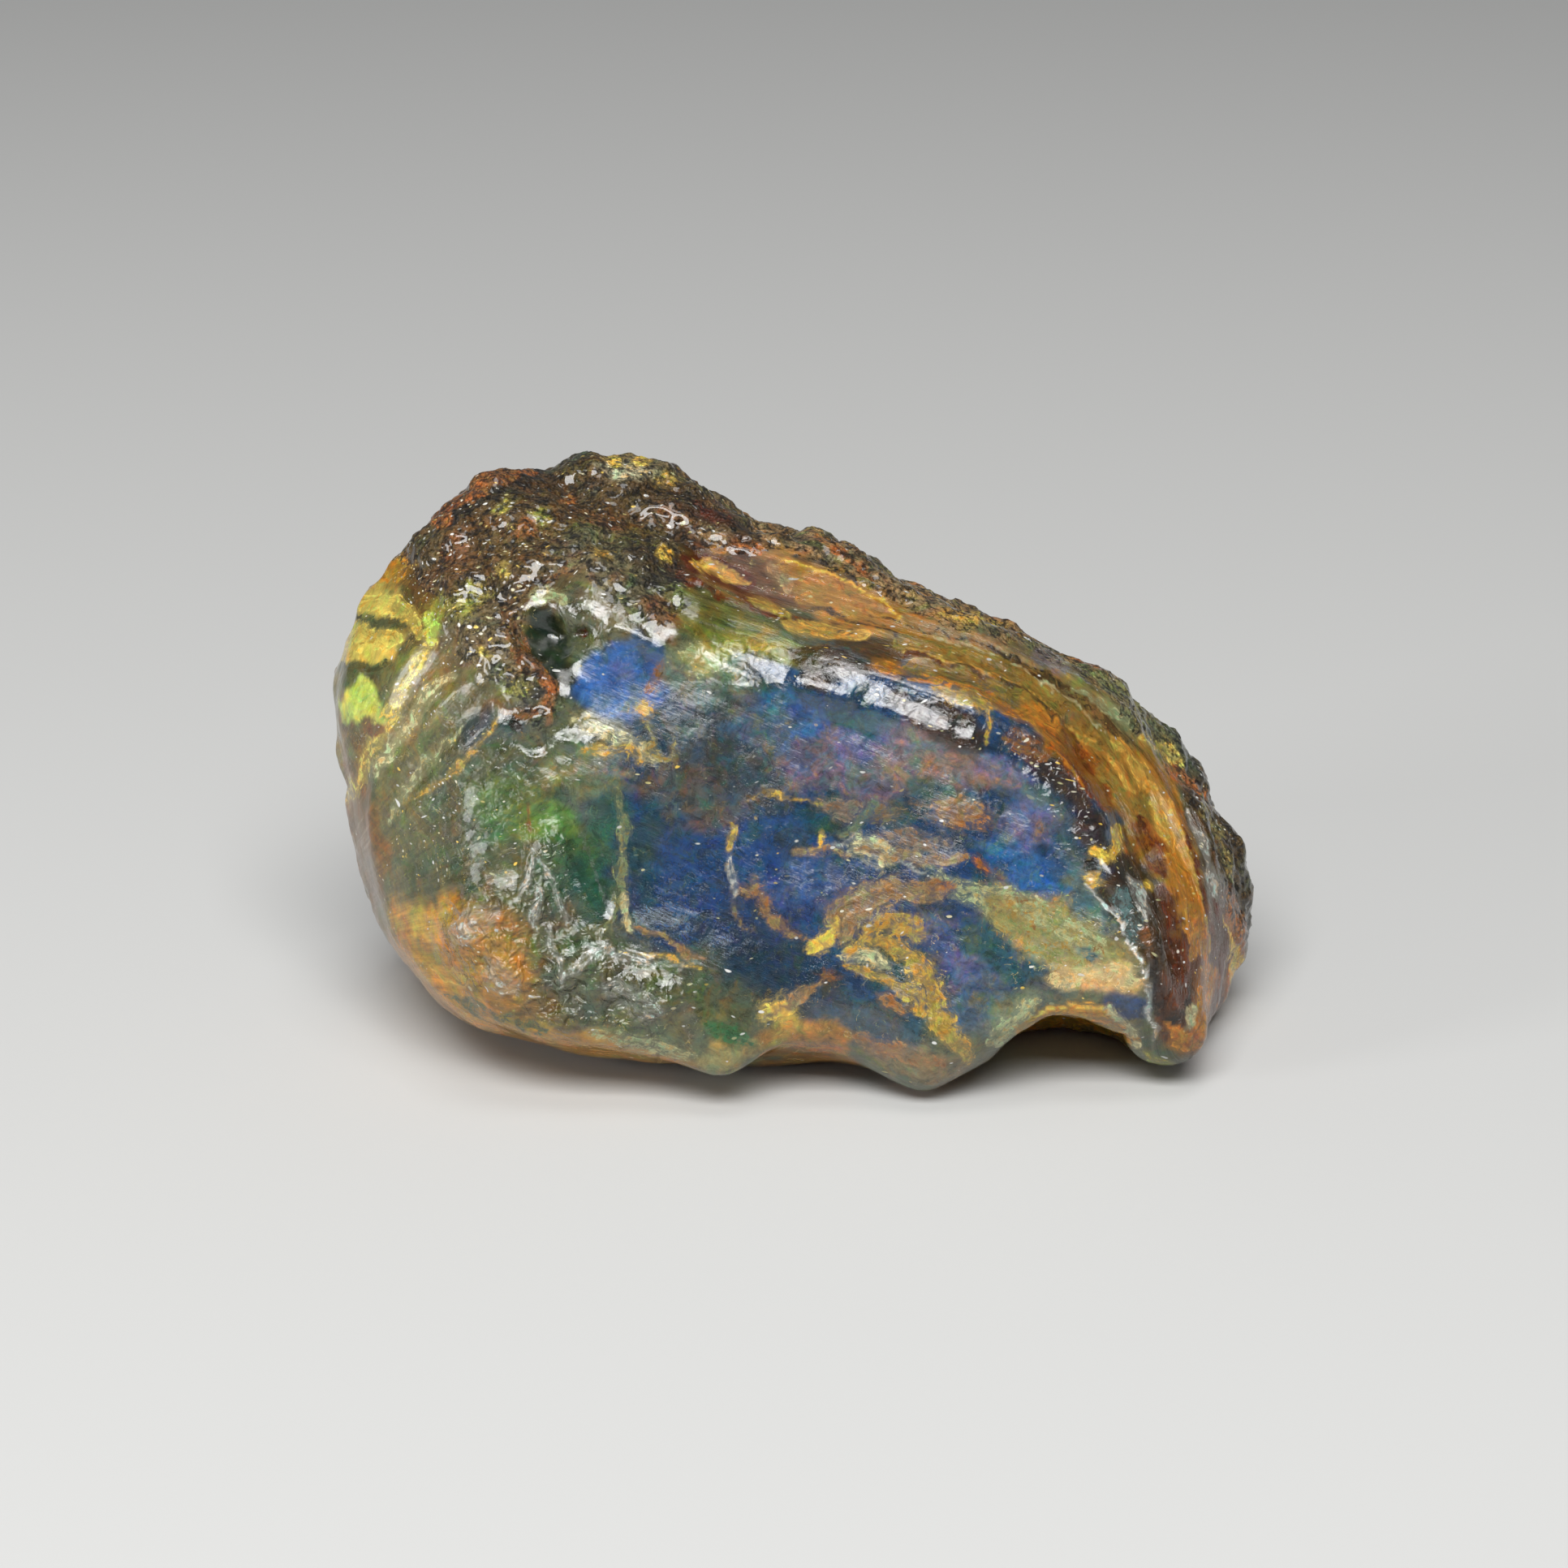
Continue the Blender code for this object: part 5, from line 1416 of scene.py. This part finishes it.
def new_group(name, inputs, outputs):
    """An empty node group, with its inputs and outputs as name and kind of socket."""
    tree = bpy.data.node_groups.new(name, "ShaderNodeTree")
    for label, kind in inputs.items():
        tree.interface.new_socket(name=label, in_out="INPUT", socket_type="NodeSocket" + kind)
    for label, kind in outputs.items():
        tree.interface.new_socket(name=label, in_out="OUTPUT", socket_type="NodeSocket" + kind)
    return tree, tree.nodes.new("NodeGroupInput").outputs, tree.nodes.new("NodeGroupOutput").inputs


def grouped(tree, group, inputs):
    """The outputs of a group that is put to use with these inputs."""
    return wire(tree, "ShaderNodeGroup", inputs, node_tree=group).outputs


# Finishes: the effects that both share

def drifting_hue_group():
    """Swirling light and dark, hues that drift, and lines along the stone's grain."""
    tree, given, made = new_group(
        "drifting_hue",
        {"Color": "Color", "Swirl": "Float", "Drift": "Float", "Lines": "Float"},
        {"Color": "Color", "Tone": "Float", "Height": "Float"},
    )
    place = object_place(tree)
    swirl = grainy(tree, place, "swirl")[0]
    line = drawn_out(tree, wire(tree, "ShaderNodeUVMap", uv_map="grain").outputs[0], LINE_STRETCH)
    inputs = {0: given["Lines"], 2: swirl, 3: line}
    tone = wire(tree, "ShaderNodeMix", inputs, data_type="FLOAT").outputs[0]
    moods = channels(tree, grainy(tree, place, "moods")[1])
    colour = given["Color"]
    for channel, step, tint in HUE_DRIFTS:
        share = sums(tree, "MULTIPLY", ramp(tree, moods[channel], step), given["Drift"])
        colour = mixed(tree, share, colour, tint, "MULTIPLY")
    light = around_one(tree, tone, given["Swirl"])
    tree.links.new(brightened(tree, colour, light), made["Color"])
    tree.links.new(tone, made["Tone"])
    tree.links.new(line, made["Height"])
    return tree


def opal_group():
    """Torn panes under the polish that tint what they lie on."""
    tree, given, made = new_group(
        "opal_panes", {"Color": "Color", "Amount": "Float"}, {"Color": "Color"}
    )
    place = object_place(tree)
    colour = given["Color"]
    for name, (shift, tints) in OPAL_PANES.items():
        away = place_sums(tree, "ADD", place, (shift, 2.0 * shift, 0.0))
        hue = hue_stops(tree, grainy(tree, away, name + "_hue")[0], tints)
        torn = ramp(tree, grainy(tree, away, name)[0], "torn_pane")
        share = sums(tree, "MULTIPLY", torn, given["Amount"])
        colour = mixed(tree, share, colour, brightened(tree, hue, TINT_GAIN), "MULTIPLY")
    tree.links.new(colour, made["Color"])
    return tree


def thread_group():
    """Fine bright threads and torn edges that wander under the polish."""
    tree, given, made = new_group(
        "bright_threads", {"Color": "Color", "Amount": "Float"}, {"Color": "Color"}
    )
    place = object_place(tree)
    field = sums(tree, "SUBTRACT", grainy(tree, place, "threads")[0], 0.5)
    line = ramp(tree, sums(tree, "ABSOLUTE", field), "thread")
    gate = ramp(tree, grainy(tree, place, "thread_gate")[0], "thread_gate")
    hue = named_hues(tree, grainy(tree, place, "thread_hue")[0], THREAD_HUES)
    share = sums(tree, "MULTIPLY", sums(tree, "MULTIPLY", line, gate), given["Amount"], True)
    tree.links.new(mixed(tree, share, given["Color"], hue), made["Color"])
    return tree


def ragged_mark_group():
    """The crisp marks: torn into strands that follow them, and letting the ground show through."""
    tree, given, made = new_group(
        "ragged_marks", {"Color": "Color", "Raggedness": "Float", "Tone": "Float"}, {"Color": "Color"}
    )
    mark = attribute(tree, "mark")
    place = object_place(tree)
    streak = drawn_out(tree, attribute(tree, "strand")["Vector"], STRAND_STRETCH, STRAND_DISTORTION)
    torn = grainy(tree, place, "mark_tears")[0]
    fray = sums(tree, "SUBTRACT", sums(tree, "ADD", streak, torn), 1.0)
    field = times_plus(tree, mark["Alpha"], 2.0, -1.0)
    pushed = times_plus(tree, fray, given["Raggedness"], field)
    mask = ramp(tree, pushed, "mark_mask")
    haze = ramp(tree, pushed, "mark_haze")
    rim = sums(tree, "SUBTRACT", ramp(tree, pushed, "mark_rim"), ramp(tree, pushed, "mark_core"))
    light = times_plus(tree, rim, RIM_LIGHT, around_one(tree, streak, STRAND_CONTRAST))
    gain = sums(tree, "MULTIPLY", light, around_one(tree, given["Tone"], TONE_CONTRAST))
    mood = grainy(tree, place, "mark_mood")[0]
    colour = mixed(tree, ramp(tree, mood, "mark_warm"), mark["Color"], MARK_WARM, "MULTIPLY")
    colour = mixed(tree, ramp(tree, mood, "mark_cool"), colour, MARK_COOL, "MULTIPLY")
    body = ramp(tree, grainy(tree, place, "mark_body")[0], "mark_body")
    hazy = mixed(tree, haze, given["Color"], mark["Color"])
    cover = sums(tree, "MULTIPLY", mask, body)
    tree.links.new(mixed(tree, cover, hazy, brightened(tree, colour, gain)), made["Color"])
    return tree


def speck_and_glint_group():
    """Gold flecks, and tiny bright dots that are partly mineral specks and partly painted glints, as
    many as the crowding says.
    """
    tree, given, made = new_group(
        "mineral_specks_and_glints", {"Color": "Color", "Specks and glints": "Float", "Flecks": "Float"}, {"Color": "Color"}
    )
    place = object_place(tree)
    floor = times_plus(tree, given["Flecks"], FLECK_FLOOR_DROP, FLECK_FLOOR)
    fleck = ramp(tree, sums(tree, "SUBTRACT", grainy(tree, place, "flecks")[0], floor), "fleck")
    tint = named_hues(tree, grainy(tree, place, "fleck_hue")[0], FLECK_HUES)
    golden = mixed(tree, sums(tree, "MULTIPLY", fleck, FLECK_COVER), given["Color"], tint)
    inputs = {0: grainy(tree, place, "grain_bend")[1], 1: GRAIN_BEND, 2: place}
    bent = wire(tree, "ShaderNodeVectorMath", inputs, operation="MULTIPLY_ADD").outputs[0]
    turn = (0.0, math.radians(GRAIN_LEAN), 0.0)
    inputs = {"Vector": bent, "Rotation": turn, "Scale": GRAIN_SQUEEZE}
    leaning = wire(tree, "ShaderNodeMapping", inputs).outputs[0]
    inputs = {"Vector": leaning, "Scale": 1.0 / (GRAIN_SIZE * MM), "Randomness": 1.0}
    cells = wire(tree, "ShaderNodeTexVoronoi", inputs).outputs
    chance, size, hue = channels(tree, cells["Color"])
    reach = times_plus(tree, size, GRAIN_REACH_SPREAD, GRAIN_REACH_LEAST)
    dot = ramp(tree, sums(tree, "SUBTRACT", reach, cells["Distance"]), "grain_dot")
    kept = ramp(tree, sums(tree, "SUBTRACT", given["Specks and glints"], chance), "grain_kept")
    speck = named_hues(tree, hue, SPECK_AND_GLINT_HUES)
    tree.links.new(mixed(tree, sums(tree, "MULTIPLY", dot, kept), golden, speck), made["Color"])
    return tree


def dressed(tree, groups, swirl, drifting, opal, raggedness, specks_and_glints, flecks):
    """The paint with every effect on it: its colour, and the height of the grain lines."""
    ground = attribute(tree, "ground")
    many_specks_and_glints, many_flecks, many_flakes = channels(tree, attribute(tree, "crowd")["Color"])
    hue = grouped(tree, groups["drifting_hue"], {
        "Color": ground["Color"], "Lines": ground["Alpha"], "Swirl": swirl, "Drift": drifting,
    })
    panes = grouped(tree, groups["opal_panes"], {
        "Color": hue["Color"], "Amount": sums(tree, "MULTIPLY", many_flakes, opal),
    })
    threads = grouped(tree, groups["bright_threads"], {"Color": panes["Color"], "Amount": many_flecks})
    marks = grouped(tree, groups["ragged_marks"], {
        "Color": threads["Color"],
        "Tone": hue["Tone"],
        "Raggedness": times_plus(tree, ground["Alpha"], LESS_RAGGED_ON_LINES * raggedness, raggedness),
    })
    # Bright dots on top: mineral specks and painted glints
    mineral = grouped(tree, groups["mineral_specks_and_glints"], {
        "Color": marks["Color"],
        "Specks and glints": sums(tree, "MULTIPLY", many_specks_and_glints, specks_and_glints),
        "Flecks": sums(tree, "MULTIPLY", many_flecks, flecks),
    })
    return mineral["Color"], hue["Height"]


# The finishes themselves

def blank(name):
    """A new material, its node tree and its shader."""
    material = bpy.data.materials.new(name)
    material.use_nodes = True
    return material, material.node_tree, material.node_tree.nodes["Principled BSDF"]


def clear_amber(groups):
    """Polished amber: see-through, with its colours a little under the polish."""
    material, tree, shader = blank("clear_amber")
    shader.inputs["Metallic"].default_value = 0.0
    shader.inputs["IOR"].default_value = AMBER_IOR
    shader.inputs["Transmission Weight"].default_value = SEE_THROUGH
    shader.inputs["Coat Roughness"].default_value = POLISH_ROUGHNESS
    colour, line = dressed(tree, groups, **DRESSING["clear_amber"])
    tree.links.new(colour, shader.inputs["Base Color"])
    place = object_place(tree)
    lined = attribute(tree, "ground")["Alpha"]
    grazing = wire(tree, "ShaderNodeLayerWeight", {"Blend": 0.5}).outputs["Facing"]
    off_lines = ramp(tree, lined, "coat_off_lines")
    gloss = sums(tree, "MULTIPLY", off_lines, ramp(tree, grazing, "coat_seen_square"))
    tree.links.new(gloss, shader.inputs["Coat Weight"])
    strand = attribute(tree, "strand")
    wear = ramp(tree, grainy(tree, place, "wear")[0], "wear")
    dull = sums(tree, "MULTIPLY", strand["Alpha"], ramp(tree, line, "dull_lines"))
    tree.links.new(sums(tree, "MAXIMUM", wear, dull), shader.inputs["Roughness"])
    foil = channels(tree, strand["Color"])[2]
    crinkles = sums(tree, "MULTIPLY", grainy(tree, place, "crinkles")[0], foil)
    normal = bump(tree, grainy(tree, place, "waves")[0], WAVE_DEPTH)
    normal = bump(tree, crinkles, FOIL_DEPTH, normal)
    normal = bump(tree, sums(tree, "MULTIPLY", line, lined), LINE_DEPTH, normal)
    tree.links.new(normal, shader.inputs["Normal"])
    inputs = {"Color": AMBER_INSIDE, "Density": AMBER_DENSITY}
    inside = wire(tree, "ShaderNodeVolumeAbsorption", inputs).outputs[0]
    tree.links.new(inside, tree.nodes["Material Output"].inputs["Volume"])
    return material


def weathered_rind(groups):
    """The crust that weathering left: dark and pebbly, with small glints from its relief and painted
    glints among its specks.
    """
    material, tree, shader = blank("weathered_rind")
    shader.inputs["Metallic"].default_value = 0.0
    shader.inputs["IOR"].default_value = AMBER_IOR
    shader.inputs["Specular IOR Level"].default_value = RIND_SPECULAR
    shader.inputs["Coat Weight"].default_value = RIND_COAT
    shader.inputs["Coat Roughness"].default_value = RIND_COAT_ROUGHNESS
    colour, line = dressed(tree, groups, **DRESSING["weathered_rind"])
    place = object_place(tree)
    pits = grainy(tree, place, "pits")[0]
    inputs = {"Vector": place, "Scale": 1.0 / (PEBBLE_SIZE * MM)}
    pebbles = wire(tree, "ShaderNodeTexVoronoi", inputs).outputs["Distance"]
    # The colour is darker in the low parts of the pitted relief and lighter on its tops
    dark = ramp(tree, pits, "dark_pits")
    tree.links.new(brightened(tree, colour, dark), shader.inputs["Base Color"])
    tree.links.new(ramp(tree, pits, "pit_roughness"), shader.inputs["Roughness"])
    normal = bump(tree, pits, PIT_DEPTH)
    normal = bump(tree, ramp(tree, pebbles, "pebble_dome"), PEBBLE_DEPTH, normal)
    normal = bump(tree, line, RIND_LINE_DEPTH, normal)
    tree.links.new(normal, shader.inputs["Normal"])
    return material


# The studio

def pale_floor():
    bm = bmesh.new()
    bmesh.ops.create_grid(bm, x_segments=1, y_segments=1, size=FLOOR_HALF)
    mesh = bpy.data.meshes.new("pale_floor")
    bm.to_mesh(mesh)
    bm.free()
    floor = linked("pale_floor", mesh)
    material, _, shader = blank("pale_paper")
    shader.inputs["Base Color"].default_value = FLOOR_COLOUR
    shader.inputs["Roughness"].default_value = FLOOR_ROUGHNESS
    mesh.materials.append(material)


def softbox(name, azimuth, elevation, distance, size, power):
    """A soft rectangular light, aimed at the middle of the stone."""
    light = bpy.data.lights.new(name, "AREA")
    light.shape = "RECTANGLE"
    light.size, light.size_y = size
    light.energy = power
    lamp = linked(name, light)
    away = Vector(direction(azimuth, elevation))
    lamp.location = Vector(CAMERA_TARGET) * MM + away * distance
    lamp.rotation_mode = "QUATERNION"
    lamp.rotation_quaternion = away.to_track_quat("Z", "Y")


def studio():
    for name, settings in LIGHTS.items():
        softbox(name, *settings)
    world = bpy.data.worlds.new("studio")
    world.use_nodes = True
    sky = world.node_tree.nodes["Background"]
    sky.inputs["Color"].default_value = SKY_COLOUR
    sky.inputs["Strength"].default_value = SKY_STRENGTH
    bpy.context.scene.world = world
    bpy.context.scene.view_settings.view_transform = "Standard"


def camera():
    lens = bpy.data.cameras.new("camera")
    lens.lens = LENS
    lens.sensor_width = SENSOR
    lens.clip_start = NEAREST_SEEN
    lens.clip_end = FARTHEST_SEEN
    eye = linked("camera", lens)
    away = Vector(TO_EYE)
    eye.location = (Vector(CAMERA_TARGET) + away * EYE_DISTANCE) * MM
    eye.rotation_mode = "QUATERNION"
    eye.rotation_quaternion = away.to_track_quat("Z", "Y")
    bpy.context.scene.camera = eye


def main():
    groups = {
        "drifting_hue": drifting_hue_group(),
        "opal_panes": opal_group(),
        "bright_threads": thread_group(),
        "ragged_marks": ragged_mark_group(),
        "mineral_specks_and_glints": speck_and_glint_group(),
    }
    stone = polished_nugget()
    stone.data.materials.append(clear_amber(groups))
    stone.data.materials.append(weathered_rind(groups))
    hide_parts(NODE)
    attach(stone, "root")
    pale_floor()
    studio()
    camera()


main()
